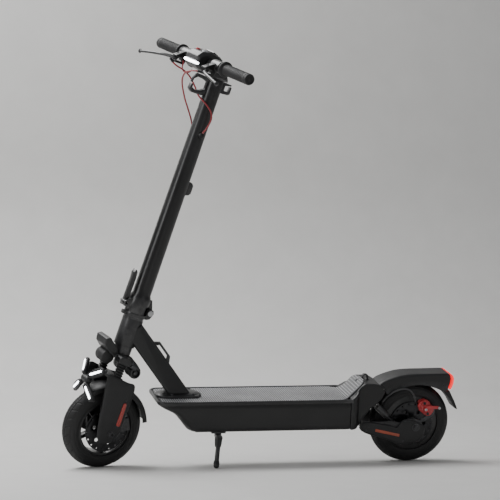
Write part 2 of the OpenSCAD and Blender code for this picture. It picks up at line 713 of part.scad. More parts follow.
// Cockpit housing, drawn as forward distance and height, with crowned sides.
house_side = [
  [-24, stem_top_s], [24, stem_top_s], [60, stem_top_s + 11], [94, stem_top_s + 15],
      [106, stem_top_s + 26],
  [104, stem_top_s + 50], [92, stem_top_s + 64], [62, stem_top_s + 71], [30, stem_top_s + 66],
  [10, stem_top_s + 50], [-10, stem_top_s + 24]
];
house_half_w = 42;
module house_slice(y0, y1, inset) side_plate([for (p = house_side)
  [-(p.x + inset * (40 - p.x) / 60), p.y + inset * (stem_top_s + 36 - p.y) / 40]], y0, y1);
lens_tilt = 23.5;
module at_lens() translate([-34, 0, stem_top_s + 66]) rotate([0, lens_tilt, 0]) children();
module cockpit_housing() color("#111215") steered() difference() {
  hull() {
    house_slice(-house_half_w + 10, house_half_w - 10, 0);
    house_slice(-house_half_w, house_half_w, 7);
  }
  at_bar() across(bar_r, -60, 60);
  at_lens() translate([-20, -28, -2.5]) cube([40, 56, 40]);
  translate([-120, -30, stem_top_s + 24]) cube([20, 60, 10]);
  for (y = [-20, 20]) translate([-80, y, stem_top_s + 56]) cylinder(r = button_r + 0.4, h = 30);
}
module display_lens() color("#05070a") steered() at_lens() translate([-19.7, -27.7, -2.5])
    cube([39.4, 55.4, 3]);
module headlight() color("white") steered() translate([-107.5, -29.7, stem_top_s + 24.3])
    cube([7.5, 59.4, 9.4]);

grip_y = bar_half_w - grip_len;
module grips() color("#1b1c1d") steered() at_bar() both_sides() difference() {
  union() {
    across(grip_r, grip_y, bar_half_w);
    across(grip_r + 7, grip_y, grip_y + 8);
  }
  across(bar_r, grip_y - 1, bar_half_w - 4);
}

module lever_perches() color("#151618") steered() at_bar() both_sides() difference() {
  union() {
    across(18, lever_y - 24, lever_y + 24);
    side_plate([[-6, -14], [-14, lever_s - 13], [lever_x - 10, lever_s - 12],
        [lever_x - 13, lever_s + 10], [-10, 12]],
      lever_y - 14, lever_y + 10);
  }
  across(bar_r, lever_y - 50, lever_y + 50);
  translate([lever_x - 30, lever_y - 20, lever_s - 5.3]) cube([41, 60, 10.6]);
  translate([lever_x, lever_y, lever_s - 20]) cylinder(r = lever_pin_r + run_fit, h = 40);
}

// A brake lever, drawn in plan for the left side: behind the bar and out along it.
lever_plan = [
  [5, -8], [-8, -10], [-16, -2], [-18, 14], [-36, 42], [-44, 80], [-46, 140], [-48, 152], [-40, 154],
  [-38, 140], [-35, 80], [-26, 44], [-7, 14], [7, 4]
];
// Where the lever's blade bends down, and how far, in degrees.
lever_bend_y = 22;
lever_droop = 8.5;
module lever_blank(side) translate([0, 0, -5]) linear_extrude(10) union() {
  scale_side(side) polygon(lever_plan);
  translate([-44, side * 152]) circle(r = 7);
  circle(r = 8);
}
module brake_lever(side) color("#1a1b1d") steered() at_bar() translate([lever_x, side * lever_y,
    lever_s]) {
  difference() {
    intersection() {
      lever_blank(side);
      translate([-30, -lever_bend_y, -10]) cube([60, 2 * lever_bend_y, 20]);
    }
    translate([0, 0, -10]) cylinder(r = lever_pin_r + run_fit, h = 20);
  }
  translate([0, side * lever_bend_y, 0]) rotate([-side * lever_droop, 0, 0])
    translate([0, -side * lever_bend_y, 0]) intersection() {
      lever_blank(side);
      translate([-60, side > 0 ? lever_bend_y - 2 : -200, -10]) cube([70, 202 - lever_bend_y, 20]);
    }
}
module scale_side(side) if (side > 0) children(); else mirror([0, 1]) children();
module brake_lever_left() brake_lever(-1);
module brake_lever_right() brake_lever(1);

module thumb_throttle() color("#26282b") steered() at_bar() difference() {
  union() {
    across(18, lever_y + 24 + gap, grip_y - gap);
    side_plate([[4, -14], [30, -34], [40, -36], [42, -29], [34, -24], [14, -8]],
        lever_y + 24 + gap, grip_y - gap);
  }
  across(bar_r + run_fit, 0, 200);
}

button_r = 7;
module power_button() color("#b8272d") steered() translate([-80, 20, stem_top_s + 60])
    cylinder(r = button_r, h = 10.5);
module mode_button() color("#dfe2e6") steered() translate([-80, -20, stem_top_s + 60])
    cylinder(r = button_r, h = 10.5);

module brake_cables() color("#b4232a") steered() {
  tube_along(right_cable, cable_r);
  tube_along(left_cable, cable_r);
  tube_along(throttle_lead, throttle_lead_r);
}

module cable_grommet() color("#1a1a1a") steered() difference() {
  both_sides() translate([-2, 0, grommet_s]) {
    across(grommet_r, stem_r1 - 3, stem_r1 + 6);
    translate([0, stem_r1 + 5, 0]) sphere(r = grommet_r + 2.5);
  }
  difference() {
    stem_outer();
    translate([-2, 0, grommet_s]) across(grommet_r, -40, 40);
  }
}

// The bag hook, an open hook on the front of the stem that a sprung gate closes.
hook_s = 1186;
gate_hinge = [-64, hook_s + 49];
gate_pin_r = 1.5;
module bag_hook() color("#0f1011") steered() difference() {
  union() {
    side_plate([[-14, hook_s + 14], [-32, hook_s + 14], [-40, hook_s + 8], [-60, hook_s + 4],
        [-72, hook_s + 10],
      [-72, hook_s + 20], [-78, hook_s + 20], [-80, hook_s + 4], [-70, hook_s - 5], [-36, hook_s - 6],
          [-14, hook_s]], -7, 7);
    both_sides() side_plate([[-14, hook_s + 38], [-14, hook_s + 50], [-64, hook_s + 54],
        [-69, hook_s + 49], [-64, hook_s + 44]], 4.4, 8);
    side_plate([[-14, hook_s], [-14, hook_s + 50], [-44, hook_s + 52], [-44, hook_s + 42],
        [-29, hook_s + 36], [-29, hook_s]], -5, 5);
  }
  translate([gate_hinge.x, 0, gate_hinge.y]) across(gate_pin_r, -10, 10);
  stem_outer();
}
module bag_gate() color("#3a3c40") steered() {
  difference() {
    side_plate([[-60, hook_s + 46], [-61, hook_s + 53], [-67, hook_s + 53], [-78, hook_s + 38],
      [-79, hook_s + 24], [-75, hook_s + 24], [-73, hook_s + 36]], -4, 4);
    translate([gate_hinge.x, 0, gate_hinge.y]) across(gate_pin_r, -10, 10);
  }
  translate([gate_hinge.x, 0, gate_hinge.y]) across(gate_pin_r - run_fit, -8, 8);
}

// ---------- rear suspension and wheel ----------

arm_side = [
  [swing_x - 12, swing_z + 12], [swing_x, swing_z + 17], [swing_x + 20, swing_z + 15], [400, 146],
      [425, 141],
  [452, 152], [475, 152], [492, 145], [502, 127], [494, 106], [475, 96], [440, 98], [400, 104],
  [swing_x + 10, swing_z - 16], [swing_x - 8, swing_z - 14], [swing_x - 16, swing_z - 4]
];
module swing_arms() color("#26282b") stood() difference() {
  union() {
    both_sides() side_plate(arm_side, arm_y, arm_y + arm_t);
    translate([swing_x, 0, swing_z]) across(swing_r, -arm_y, arm_y);
    both_sides() translate([shock_low.x, 0, shock_low.y]) across(shock_pin_r, shock_y - 9, arm_y);
  }
  at_rear_axle() across(rear_axle_r, -big, big);
}

cover_outline = [
  [323, 146], [398, 133], [414, 127], [437, 152], [462, 149], [487, 140], [504, 126], [504, 104],
      [491, 84],
  [462, 76], [430, 72], [391, 86], [319, 109], [304, 118], [301, 130], [308, 142]
];
module motor_cover() color("#2f3135") stood() difference() {
  both_sides() side_plate(cover_outline, arm_y + arm_t, arm_y + arm_t + 7);
  both_sides() side_plate([[345, 116], [346, 125], [424, 107], [423, 98]], arm_y + arm_t + 5, big);
  at_rear_axle() across(15, -big, big);
}
module arm_reflectors() color("#d8691e") stood()
  both_sides() side_plate([[345, 116], [346, 125], [424, 107], [423, 98]],
      arm_y + arm_t + 5, arm_y + arm_t + 8);

rear_rotor_y = -33.5;
module rear_caliper() color("#b7252c") stood() at_rear_axle() rotate([0, -52, 0]) difference() {
  translate([44, -41, -24]) cube([38, 16.5, 48]);
  translate([30, rear_rotor_y - 1.2, -40]) cube([rotor_r - 30 + 2, rotor_t + 2.4, 80]);
}

module motor_axle() color("#9fa2a8") stood() at_rear_axle() {
  across(rear_axle_r, -arm_y - arm_t - 12, arm_y + arm_t + 12);
  both_sides() across(12, arm_y + arm_t, arm_y + arm_t + 9);
  across(62, -11, 11);
}

motor_half_w = 27;
module rear_tyre() color("#141414") stood() at_rear_axle() tyre();
module hub_motor() color("#1a1b1d") stood() at_rear_axle() difference() {
  union() {
    across(bead_r, -24, 24);
    across(72, -24, motor_half_w);
    across(30, rear_rotor_y + rotor_t, 34);
  }
  across(64, -13, 13);
  across(rear_axle_r + run_fit, -80, 80);
}
module rear_rotor() color("#8f9296") stood() at_rear_axle() rotor(20, rear_rotor_y);

module along_shock() both_sides() translate([shock_top.x, shock_y, shock_top.y])
    rotate([0, shock_tilt, 0]) children();
module shock_upper() color("#17181b") stood() difference() {
  along_shock() {
    rotate([-90, 0, 0]) translate([0, 0, -8]) cylinder(r = shock_eye_r, h = 16);
    translate([0, 0, 7]) cylinder(r = shock_r, h = 44);
  }
  along_shock() rotate([-90, 0, 0]) translate([0, 0, -20]) cylinder(r = shock_pin_r + run_fit, h = 40);
  along_shock() translate([0, 0, 16]) cylinder(r = 9, h = 60);
}
module shock_lower() color("#b5b8bd") stood() difference() {
  along_shock() {
    translate([0, 0, shock_len]) rotate([-90, 0, 0]) translate([0, 0, -8])
        cylinder(r = shock_eye_r, h = 16);
    translate([0, 0, 38]) cylinder(r = 6, h = shock_len - 44);
  }
  along_shock() translate([0, 0, shock_len]) rotate([-90, 0, 0]) translate([0, 0, -20])
      cylinder(r = shock_pin_r + run_fit, h = 40);
}

module rear_hose() color("#151515") stood() tube_along(hose_route, cable_r);

deck_shell();
deck_rim();
deck_mat();
bottom_cover();
battery_pack();
motor_controller();
neck_frame();
headset_cups();
deck_screws();
rear_casting();
rear_fender();
tail_light();
mud_flap();
stand_bracket();
charge_flap();
stand_leg();
fork_crown();
crown_dampers();
hinge_collar();
hinge_pin();
fold_lever();
fork_legs();
leg_covers();
leg_reflectors();
front_fender();
light_frame();
light_bars();
front_axle();
front_caliper();
front_tyre();
front_rim();
front_rotor();
stem_tube();
stem_hook();
handlebar();
cockpit_housing();
display_lens();
headlight();
grips();
lever_perches();
brake_cables();
cable_grommet();
bag_hook();
brake_lever_left();
brake_lever_right();
thumb_throttle();
power_button();
mode_button();
bag_gate();
swing_arms();
motor_cover();
arm_reflectors();
rear_caliper();
motor_axle();
rear_tyre();
hub_motor();
rear_rotor();
shock_upper();
shock_lower();
rear_hose();
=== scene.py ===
"""The looks of an electric kick scooter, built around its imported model.

Drawings are in millimetres in one of two spaces, the leaning deck's and the turned
steering's, and Space.at turns them into metres in the shared frame.
"""

import json
import logging
import math
from dataclasses import dataclass
from enum import Enum
from typing import Callable, Iterable, Sequence

import bmesh
import bpy
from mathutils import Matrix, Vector

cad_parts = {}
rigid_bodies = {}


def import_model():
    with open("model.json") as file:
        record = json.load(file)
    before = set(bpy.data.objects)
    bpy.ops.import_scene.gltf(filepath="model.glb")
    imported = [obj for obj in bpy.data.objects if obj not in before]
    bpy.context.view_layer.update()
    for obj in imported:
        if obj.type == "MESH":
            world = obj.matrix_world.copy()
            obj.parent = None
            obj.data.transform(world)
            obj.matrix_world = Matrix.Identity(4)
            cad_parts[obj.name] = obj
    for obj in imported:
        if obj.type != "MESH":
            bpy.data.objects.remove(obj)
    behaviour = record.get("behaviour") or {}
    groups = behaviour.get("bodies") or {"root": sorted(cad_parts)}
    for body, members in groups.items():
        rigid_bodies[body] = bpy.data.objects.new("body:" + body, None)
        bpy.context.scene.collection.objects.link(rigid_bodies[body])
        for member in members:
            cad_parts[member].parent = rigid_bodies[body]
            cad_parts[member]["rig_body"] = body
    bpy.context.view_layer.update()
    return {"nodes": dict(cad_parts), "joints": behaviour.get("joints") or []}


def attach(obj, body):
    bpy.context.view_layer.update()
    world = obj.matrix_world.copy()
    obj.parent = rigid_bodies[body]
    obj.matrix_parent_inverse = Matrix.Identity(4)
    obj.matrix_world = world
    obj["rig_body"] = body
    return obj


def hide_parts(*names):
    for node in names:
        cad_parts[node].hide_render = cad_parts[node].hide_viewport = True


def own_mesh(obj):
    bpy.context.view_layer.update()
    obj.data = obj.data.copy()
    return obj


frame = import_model()
LOG = logging.getLogger("scooter")
MM = 0.001
JOIN_DISTANCE = 2e-6
FLAT_ANGLE = math.radians(0.6)
Point = tuple[float, float]
Route = Sequence[tuple[float, float, float]]


# ---------- spaces ----------


@dataclass(frozen=True)
class Space:
    """A right-handed set of axes in which one group of pieces is drawn, in millimetres."""

    origin: Vector
    x: Vector
    y: Vector
    z: Vector

    def at(self, x: float, y: float, z: float) -> Vector:
        """The place of a drawn point, in metres in the shared frame."""
        return self.origin + (self.x * x + self.y * y + self.z * z) * MM

    def way(self, x: float, y: float, z: float) -> Vector:
        """The direction of a drawn vector in the shared frame."""
        return (self.x * x + self.y * y + self.z * z).normalized()

    def moved(self, x: float, y: float, z: float) -> "Space":
        """The same axes with the origin at a drawn point."""
        return Space(self.at(x, y, z), self.x, self.y, self.z)

    def turned(self, degrees: float) -> "Space":
        """The axes turned about Y, so that X dips towards -Z when the angle is positive."""
        c, s = math.cos(math.radians(degrees)), math.sin(math.radians(degrees))
        return Space(self.origin, self.x * c - self.z * s, self.y, self.z * c + self.x * s)


def joint(name: str) -> dict:
    """The record's entry for one joint."""
    return next(j for j in frame["joints"] if j["name"] == name)


REAR_AXLE = (475.0, 0.0, 127.0)
STEER_PIVOT_S = 440.0
FRONT_TRAIL = 19.0
BAR = (-61.0, 1280.0)


def deck_space() -> Space:
    """The space of the deck: X back, Y to the rider's right, Z up out of the mat.

    Returns:
        The space.
    """
    spin = joint("rear_wheel_spin")
    y = Vector(spin["axis"]).normalized()
    x = Vector((1.0, 0.0, 0.0))
    z = x.cross(y)
    offset = (x * REAR_AXLE[0] + y * REAR_AXLE[1] + z * REAR_AXLE[2]) * MM
    return Space(Vector(spin["pos_m"]) - offset, x, y, z)


def steer_space() -> Space:
    """The space of the steering: Z up its axis, -X forwards.

    Returns:
        The space.
    """
    steer = joint("steer")
    z = Vector(steer["axis"]).normalized()
    y = Vector(joint("stem_fold")["axis"]).normalized()
    return Space(Vector(steer["pos_m"]) - z * STEER_PIVOT_S * MM, y.cross(z), y, z)


DECK = deck_space()
STEER = steer_space()
FRONT_HUB = Space(Vector(joint("front_wheel_spin")["pos_m"]), STEER.x, STEER.y, STEER.z)
REAR_HUB = DECK.moved(*REAR_AXLE)


# ---------- node trees ----------


class Nodes:
    """A short way to add and join the nodes of one tree."""

    def __init__(self, tree: bpy.types.NodeTree) -> None:
        """Keeps the tree that nodes are added to."""
        self.tree = tree

    def add(self, kind: str, **settings: object) -> bpy.types.Node:
        """Adds a node.

        Args:
            kind: the node's type name.
            settings: properties by name, and input values under the key values.

        Returns:
            The new node.
        """
        node = self.tree.nodes.new(kind)
        values = settings.pop("values", {})
        for key, value in settings.items():
            setattr(node, key, value)
        for key, value in values.items():
            node.inputs[key].default_value = value
        return node

    def join(self, source: bpy.types.NodeSocket, target: bpy.types.NodeSocket) -> None:
        """Links one socket to another."""
        self.tree.links.new(source, target)

    def maths(self, operation: str, a: object, b: object = 0.0,
              clamp: bool = False) -> bpy.types.NodeSocket:
        """Adds a Math node whose operands are sockets or numbers, and gives its output.

        Args:
            operation: the node's operation.
            a: the first operand.
            b: the second operand.
            clamp: whether the result stays from 0 to 1.

        Returns:
            The node's output.
        """
        node = self.add("ShaderNodeMath", operation=operation, use_clamp=clamp)
        for index, value in enumerate((a, b)):
            if isinstance(value, bpy.types.NodeSocket):
                self.join(value, node.inputs[index])
            else:
                node.inputs[index].default_value = value
        return node.outputs[0]


def new_group(name: str, inputs: dict[str, tuple[str, object]],
              outputs: dict[str, str]) -> tuple[Nodes, dict, dict]:
    """Makes an empty shader node group with named sockets.

    Args:
        name: the group's name.
        inputs: socket type and default by name.
        outputs: socket type by name.

    Returns:
        The group's nodes, its input sockets and its output sockets by name.
    """
    tree = bpy.data.node_groups.new(name, "ShaderNodeTree")
    for key, (kind, default) in inputs.items():
        socket = tree.interface.new_socket(key, in_out="INPUT", socket_type=kind)
        if default is not None:
            socket.default_value = default
    for key, kind in outputs.items():
        tree.interface.new_socket(key, in_out="OUTPUT", socket_type=kind)
    nodes = Nodes(tree)
    enter = nodes.add("NodeGroupInput")
    leave = nodes.add("NodeGroupOutput")
    return nodes, {k: enter.outputs[k] for k in inputs}, {k: leave.inputs[k] for k in outputs}


FLOAT = "NodeSocketFloat"
COLOR = "NodeSocketColor"
VECTOR = "NodeSocketVector"


def grain_group() -> bpy.types.NodeTree:
    """Moulded or sprayed grain: a fine height and a slow mask that varies gloss.

    Returns:
        The node group.
    """
    n, i, o = new_group(
        "grain",
        {"Vector": (VECTOR, None), "Scale": (FLOAT, 900.0), "Coarse": (FLOAT, 9.0)},
        {"Height": FLOAT, "Mask": FLOAT},
    )
    fine = n.add("ShaderNodeTexNoise", values={"Detail": 3.0, "Roughness": 0.6})
    slow = n.add("ShaderNodeTexNoise", values={"Detail": 4.0, "Roughness": 0.55})
    for node, scale in ((fine, i["Scale"]), (slow, i["Coarse"])):
        n.join(i["Vector"], node.inputs["Vector"])
        n.join(scale, node.inputs["Scale"])
    n.join(fine.outputs[0], o["Height"])
    n.join(slow.outputs[0], o["Mask"])
    return n.tree


def wear_group() -> bpy.types.NodeTree:
    """Edge wear and settled dust: convex edges lighten in a broken line.

    Returns:
        The node group.
    """
    n, i, o = new_group(
        "edge_wear",
        {
            "Vector": (VECTOR, None),
            "Color": (COLOR, (0.02, 0.02, 0.02, 1.0)),
            "Worn": (COLOR, (0.2, 0.2, 0.2, 1.0)),
            "Amount": (FLOAT, 0.5),
        },
        {"Color": COLOR, "Mask": FLOAT},
    )
    shape = n.add("ShaderNodeNewGeometry")
    breakup = n.add("ShaderNodeTexNoise", values={"Scale": 60.0, "Detail": 5.0, "Roughness": 0.7})
    n.join(i["Vector"], breakup.inputs["Vector"])
    edge = n.maths("MULTIPLY", n.maths("SUBTRACT", shape.outputs["Pointiness"], 0.515), 22.0, clamp=True)
    broken = n.maths("MULTIPLY", edge,
                     n.maths("SUBTRACT", n.maths("MULTIPLY", breakup.outputs[0], 2.6), 0.6, clamp=True))
    mask = n.maths("MULTIPLY", broken, i["Amount"], clamp=True)
    mix = n.add("ShaderNodeMix", data_type="RGBA")
    n.join(mask, mix.inputs[0])
    n.join(i["Color"], mix.inputs[6])
    n.join(i["Worn"], mix.inputs[7])
    n.join(mix.outputs[2], o["Color"])
    n.join(mask, o["Mask"])
    return n.tree


def shade_group() -> bpy.types.NodeTree:
    """Slow change of colour over a surface, as handling and dust leave it.

    Returns:
        The node group.
    """
    n, i, o = new_group(
        "colour_drift",
        {"Color": (COLOR, (0.02, 0.02, 0.02, 1.0)), "Mask": (FLOAT, 0.5), "Amount": (FLOAT, 0.2)},
        {"Color": COLOR},
    )
    gain = n.maths("ADD", 1.0,
                   n.maths("MULTIPLY", n.maths("SUBTRACT", i["Mask"], 0.5),
                           n.maths("MULTIPLY", i["Amount"], 4.0)))
    scale = n.add("ShaderNodeVectorMath", operation="SCALE")
    n.join(i["Color"], scale.inputs[0])
    n.join(gain, scale.inputs["Scale"])
    n.join(scale.outputs[0], o["Color"])
    return n.tree


GROUPS: dict[str, bpy.types.NodeTree] = {}


def group(name: str, make: Callable[[], bpy.types.NodeTree]) -> bpy.types.NodeTree:
    """Gives a shared node group, built the first time that it is asked for.

    Args:
        name: the group's name.
        make: the function that builds it.

    Returns:
        The node group.
    """
    if name not in GROUPS:
        GROUPS[name] = make()
    return GROUPS[name]


# ---------- finishes ----------


class Pattern(Enum):
    """What a finish shows beyond its grain."""

    PLAIN = "plain"
    BRUSHED = "brushed"
    PRISMS = "prisms"
    RIBBED = "ribbed"
    SPECKLED = "speckled"


@dataclass(frozen=True)
class Finish:
    """One surface finish and the numbers that its material is built from."""

    name: str
    color: tuple[float, float, float]
    roughness: float
    metallic: float = 0.0
    coat: float = 0.0
    grain: float = 900.0
    height: float = 0.00004
    drift: float = 0.12
    wear: float = 0.3
    worn: tuple[float, float, float] = (0.16, 0.16, 0.165)
    glow: float = 0.0
    pattern: Pattern = Pattern.PLAIN

    def material(self) -> bpy.types.Material:
        """Builds the material, or gives the one already built.

        Returns:
            The material.
        """
        if self.name in bpy.data.materials:
            return bpy.data.materials[self.name]
        material = bpy.data.materials.new(self.name)
        material.use_nodes = True
        n = Nodes(material.node_tree)
        shader = material.node_tree.nodes["Principled BSDF"]
        place = n.add("ShaderNodeTexCoord").outputs["Object"]
        grain = n.add("ShaderNodeGroup", node_tree=group("grain", grain_group))
        grain.inputs["Scale"].default_value = self.grain
        n.join(place, grain.inputs["Vector"])
        drift = n.add("ShaderNodeGroup", node_tree=group("drift", shade_group))
        drift.inputs["Color"].default_value = (*self.color, 1.0)
        drift.inputs["Amount"].default_value = self.drift
        n.join(grain.outputs["Mask"], drift.inputs["Mask"])
        wear = n.add("ShaderNodeGroup", node_tree=group("wear", wear_group))
        wear.inputs["Worn"].default_value = (*self.worn, 1.0)
        wear.inputs["Amount"].default_value = self.wear
        n.join(place, wear.inputs["Vector"])
        n.join(drift.outputs["Color"], wear.inputs["Color"])
        color, height = self._pattern(n, place, wear.outputs["Color"], grain.outputs["Height"])
        n.join(color, shader.inputs["Base Color"])
        gloss = n.maths("MULTIPLY", n.maths("SUBTRACT", grain.outputs["Mask"], 0.5), 0.35)
        n.join(n.maths("ADD", gloss, self.roughness, clamp=True), shader.inputs["Roughness"])
        bump = n.add("ShaderNodeBump", values={"Strength": 1.0, "Distance": self.height})
        n.join(height, bump.inputs["Height"])
        n.join(bump.outputs[0], shader.inputs["Normal"])
        shader.inputs["Metallic"].default_value = self.metallic
        shader.inputs["Coat Weight"].default_value = self.coat
        shader.inputs["Coat Roughness"].default_value = 0.12
        if self.glow:
            shader.inputs["Emission Strength"].default_value = self.glow
            n.join(color, shader.inputs["Emission Color"])
        return material

    def _pattern(self, n: Nodes, place: bpy.types.NodeSocket, color: bpy.types.NodeSocket,
                 height: bpy.types.NodeSocket) -> tuple[bpy.types.NodeSocket, bpy.types.NodeSocket]:
        """Adds the finish's pattern to its colour and its height.

        Args:
            n: the material's nodes.
            place: the coordinates of the surface.
            color: the colour so far.
            height: the height so far.

        Returns:
            The colour and the height.
        """
        if self.pattern is Pattern.BRUSHED:
            mapping = n.add("ShaderNodeMapping", values={"Scale": (40.0, 40.0, 2600.0)})
            lines = n.add("ShaderNodeTexNoise", values={"Scale": 1.0, "Detail": 2.0})
            n.join(place, mapping.inputs["Vector"])
            n.join(mapping.outputs[0], lines.inputs["Vector"])
            return color, lines.outputs[0]
        if self.pattern is Pattern.PRISMS:
            cells = n.add("ShaderNodeTexVoronoi", values={"Scale": 520.0, "Randomness": 0.15})
            n.join(place, cells.inputs["Vector"])
            return color, cells.outputs["Distance"]
        if self.pattern is Pattern.RIBBED:
            bands = n.add("ShaderNodeTexWave", values={"Scale": 130.0, "Distortion": 0.0})
            n.join(place, bands.inputs["Vector"])
            return color, bands.outputs["Fac"]
        if self.pattern is Pattern.SPECKLED:
            flakes = n.add("ShaderNodeTexVoronoi", values={"Scale": 2400.0})
            n.join(place, flakes.inputs["Vector"])
            spark = n.maths("MULTIPLY", n.maths("LESS_THAN", flakes.outputs["Distance"], 0.22), 0.05)
            lift = n.add("ShaderNodeVectorMath", operation="ADD")
            n.join(color, lift.inputs[0])
            n.join(spark, lift.inputs[1])
            return lift.outputs[0], height
        return color, height


SATIN_BLACK = Finish("satin_black_paint", (0.0055, 0.0056, 0.006), 0.34, coat=0.25, wear=0.35)
CHARCOAL = Finish("charcoal_paint", (0.0085, 0.0087, 0.0094), 0.42, coat=0.12, wear=0.3)
CAST_BLACK = Finish("cast_black_paint", (0.0075, 0.0077, 0.0082), 0.46, grain=420.0, height=0.00008,
                    wear=0.4)
SOFT_PLASTIC = Finish("soft_black_plastic", (0.0105, 0.0107, 0.0115), 0.5, grain=1300.0, height=0.00005,
                      wear=0.15)
DECK_PLASTIC = Finish("deck_plastic", (0.0058, 0.0059, 0.0064), 0.42, grain=1300.0, height=0.00006,
                      wear=0.2)
DOME_PLASTIC = Finish("dome_plastic", (0.010, 0.0102, 0.011), 0.38, coat=0.2, wear=0.1, drift=0.06)
GLASS_BLACK = Finish("display_glass", (0.002, 0.002, 0.003), 0.1, coat=0.8, height=0.000004, wear=0.0)
MAT_RUBBER = Finish("deck_mat_rubber", (0.15, 0.151, 0.154), 0.66, grain=700.0, height=0.0001, drift=0.25,
                    wear=0.1)
STUD_RUBBER = Finish("deck_stud_rubber", (0.46, 0.463, 0.47), 0.6, grain=900.0, height=0.00006, drift=0.2,
                     wear=0.1)
TYRE_RUBBER = Finish("tyre_rubber", (0.0085, 0.0085, 0.009), 0.6, grain=600.0, height=0.0001, drift=0.25,
                     wear=0.12)
GRIP_RUBBER = Finish("grip_rubber", (0.012, 0.012, 0.0125), 0.62, grain=1100.0, height=0.00012, wear=0.1)
BLACK_RUBBER = Finish("black_rubber", (0.0075, 0.0075, 0.0078), 0.58, wear=0.1)
HOSE_SLEEVE = Finish("hose_sleeve", (0.05, 0.05, 0.052), 0.45, wear=0.1)
STEEL = Finish("bolt_steel", (0.42, 0.42, 0.43), 0.32, metallic=1.0, wear=0.2, worn=(0.7, 0.7, 0.7),
               pattern=Pattern.BRUSHED, height=0.00002)
DARK_STEEL = Finish("black_bolt_steel", (0.04, 0.04, 0.042), 0.38, metallic=0.9, wear=0.4)
# Painted shade: the brake discs' steel is darkened nearly to black. This stands in for the shade that the
# rear disc sits in between the fender and the motor cover, and both discs take it.
SHADED_DISC_STEEL = Finish("brake_disc_steel", (0.045, 0.045, 0.047), 0.36, metallic=1.0, wear=0.2,
                    pattern=Pattern.BRUSHED, height=0.00003)
ALLOY = Finish("cast_alloy", (0.07, 0.072, 0.076), 0.4, metallic=0.9, grain=500.0, height=0.00006)
RED_PAINT = Finish("red_caliper_paint", (0.52, 0.008, 0.014), 0.34, coat=0.5, wear=0.25,
                   worn=(0.5, 0.2, 0.2))
RED_SLEEVE = Finish("red_cable_sleeve", (0.36, 0.010, 0.016), 0.36, coat=0.3, pattern=Pattern.SPECKLED)
RED_REFLEX = Finish("red_reflector", (0.42, 0.030, 0.018), 0.3, coat=0.7, height=0.0003,
                    pattern=Pattern.PRISMS, wear=0.0)
AMBER_REFLEX = Finish("amber_reflector", (0.40, 0.055, 0.014), 0.34, coat=0.6, height=0.0003,
                      pattern=Pattern.PRISMS, wear=0.0)
WHITE_LIGHT = Finish("white_light", (0.95, 0.97, 1.0), 0.3, glow=9.0, wear=0.0, drift=0.02)
TAIL_LIGHT = Finish("tail_light_lens", (0.9, 0.012, 0.016), 0.25, coat=0.5, glow=1.5, wear=0.0,
                    pattern=Pattern.RIBBED, height=0.0002)
BATTERY_WRAP = Finish("battery_wrap", (0.02, 0.06, 0.17), 0.35, coat=0.3)
WHITE_PLASTIC = Finish("white_button", (0.7, 0.71, 0.73), 0.35, coat=0.4, wear=0.0)


# ---------- meshes ----------


def mesh_piece(name: str, vertices: Iterable[Vector], faces: Iterable[Sequence[int]], finish: Finish,
               smooth: float = 35.0) -> bpy.types.Object:
    """Makes a piece from points and faces, with its normals outward.

    Args:
        name: the piece's name.
        vertices: its points in the shared frame, in metres.
        faces: its faces as indices of points.
        finish: the finish that it takes.
        smooth: the angle in degrees below which an edge is shaded smooth.

    Returns:
        The new object, linked to the scene.
    """
    mesh = bpy.data.meshes.new(name)
    mesh.from_pydata([tuple(v) for v in vertices], [], [tuple(f) for f in faces])
    mesh.validate()
    shape = bmesh.new()
    shape.from_mesh(mesh)
    bmesh.ops.remove_doubles(shape, verts=shape.verts, dist=1e-6)
    bmesh.ops.recalc_face_normals(shape, faces=shape.faces)
    if shape.calc_volume(signed=True) < 0:
        bmesh.ops.reverse_faces(shape, faces=shape.faces)
    shape.to_mesh(mesh)
    shape.free()
    piece = bpy.data.objects.new(name, mesh)
    bpy.context.scene.collection.objects.link(piece)
    mesh.materials.append(finish.material())
    shade(mesh, smooth)
    return piece


def shade(mesh: bpy.types.Mesh, angle: float) -> None:
    """Shades a mesh smooth below an angle in degrees, and sharp above it.

    Args:
        mesh: the mesh.
        angle: the angle in degrees.
    """
    for polygon in mesh.polygons:
        polygon.use_smooth = True
    mesh.set_sharp_from_angle(angle=math.radians(angle))


def ring_faces(rings: int, around: int, closed: bool = True, looped: bool = False) -> list[tuple[int, ...]]:
    """The faces between rings of points.

    Args:
        rings: how many rings there are.
        around: how many points each ring has.
        closed: whether the first and last ring are filled.
        looped: whether the last ring joins the first.

    Returns:
        Faces as indices of points.
    """
    faces = []
    for i in range(rings if looped else rings - 1):
        a, b = i * around, ((i + 1) % rings) * around
        faces += [(a + k, a + (k + 1) % around, b + (k + 1) % around, b + k) for k in range(around)]
    if closed and not looped:
        faces.append(tuple(range(around - 1, -1, -1)))
        faces.append(tuple((rings - 1) * around + k for k in range(around)))
    return faces


def loft(name: str, rings: Sequence[Sequence[Vector]], finish: Finish, looped: bool = False,
         smooth: float = 35.0) -> bpy.types.Object:
    """Makes a closed piece through rings of points that all have the same count."""
    points = [p for ring in rings for p in ring]
    return mesh_piece(name, points, ring_faces(len(rings), len(rings[0]), looped=looped), finish, smooth)


def lathe(name: str, space: Space, profile: Sequence[Point], finish: Finish, around: int = 96,
          smooth: float = 35.0) -> bpy.types.Object:
    """Turns a closed profile of distance along Y and radius about a space's Y axis.

    Args:
        name: the piece's name.
        space: the space that the sizes are drawn in.
        profile: closed outline as distance along Y and radius, in millimetres.
        finish: the finish that it takes.
        around: how many steps go around.
        smooth: the sharpest angle that is shaded smooth, in degrees.

    Returns:
        The new object.
    """
    rings = []
    for k in range(around):
        c, s = math.cos(2 * math.pi * k / around), math.sin(2 * math.pi * k / around)
        rings.append([space.at(r * c, y, r * s) for y, r in profile])
    return loft(name, rings, finish, looped=True, smooth=smooth)


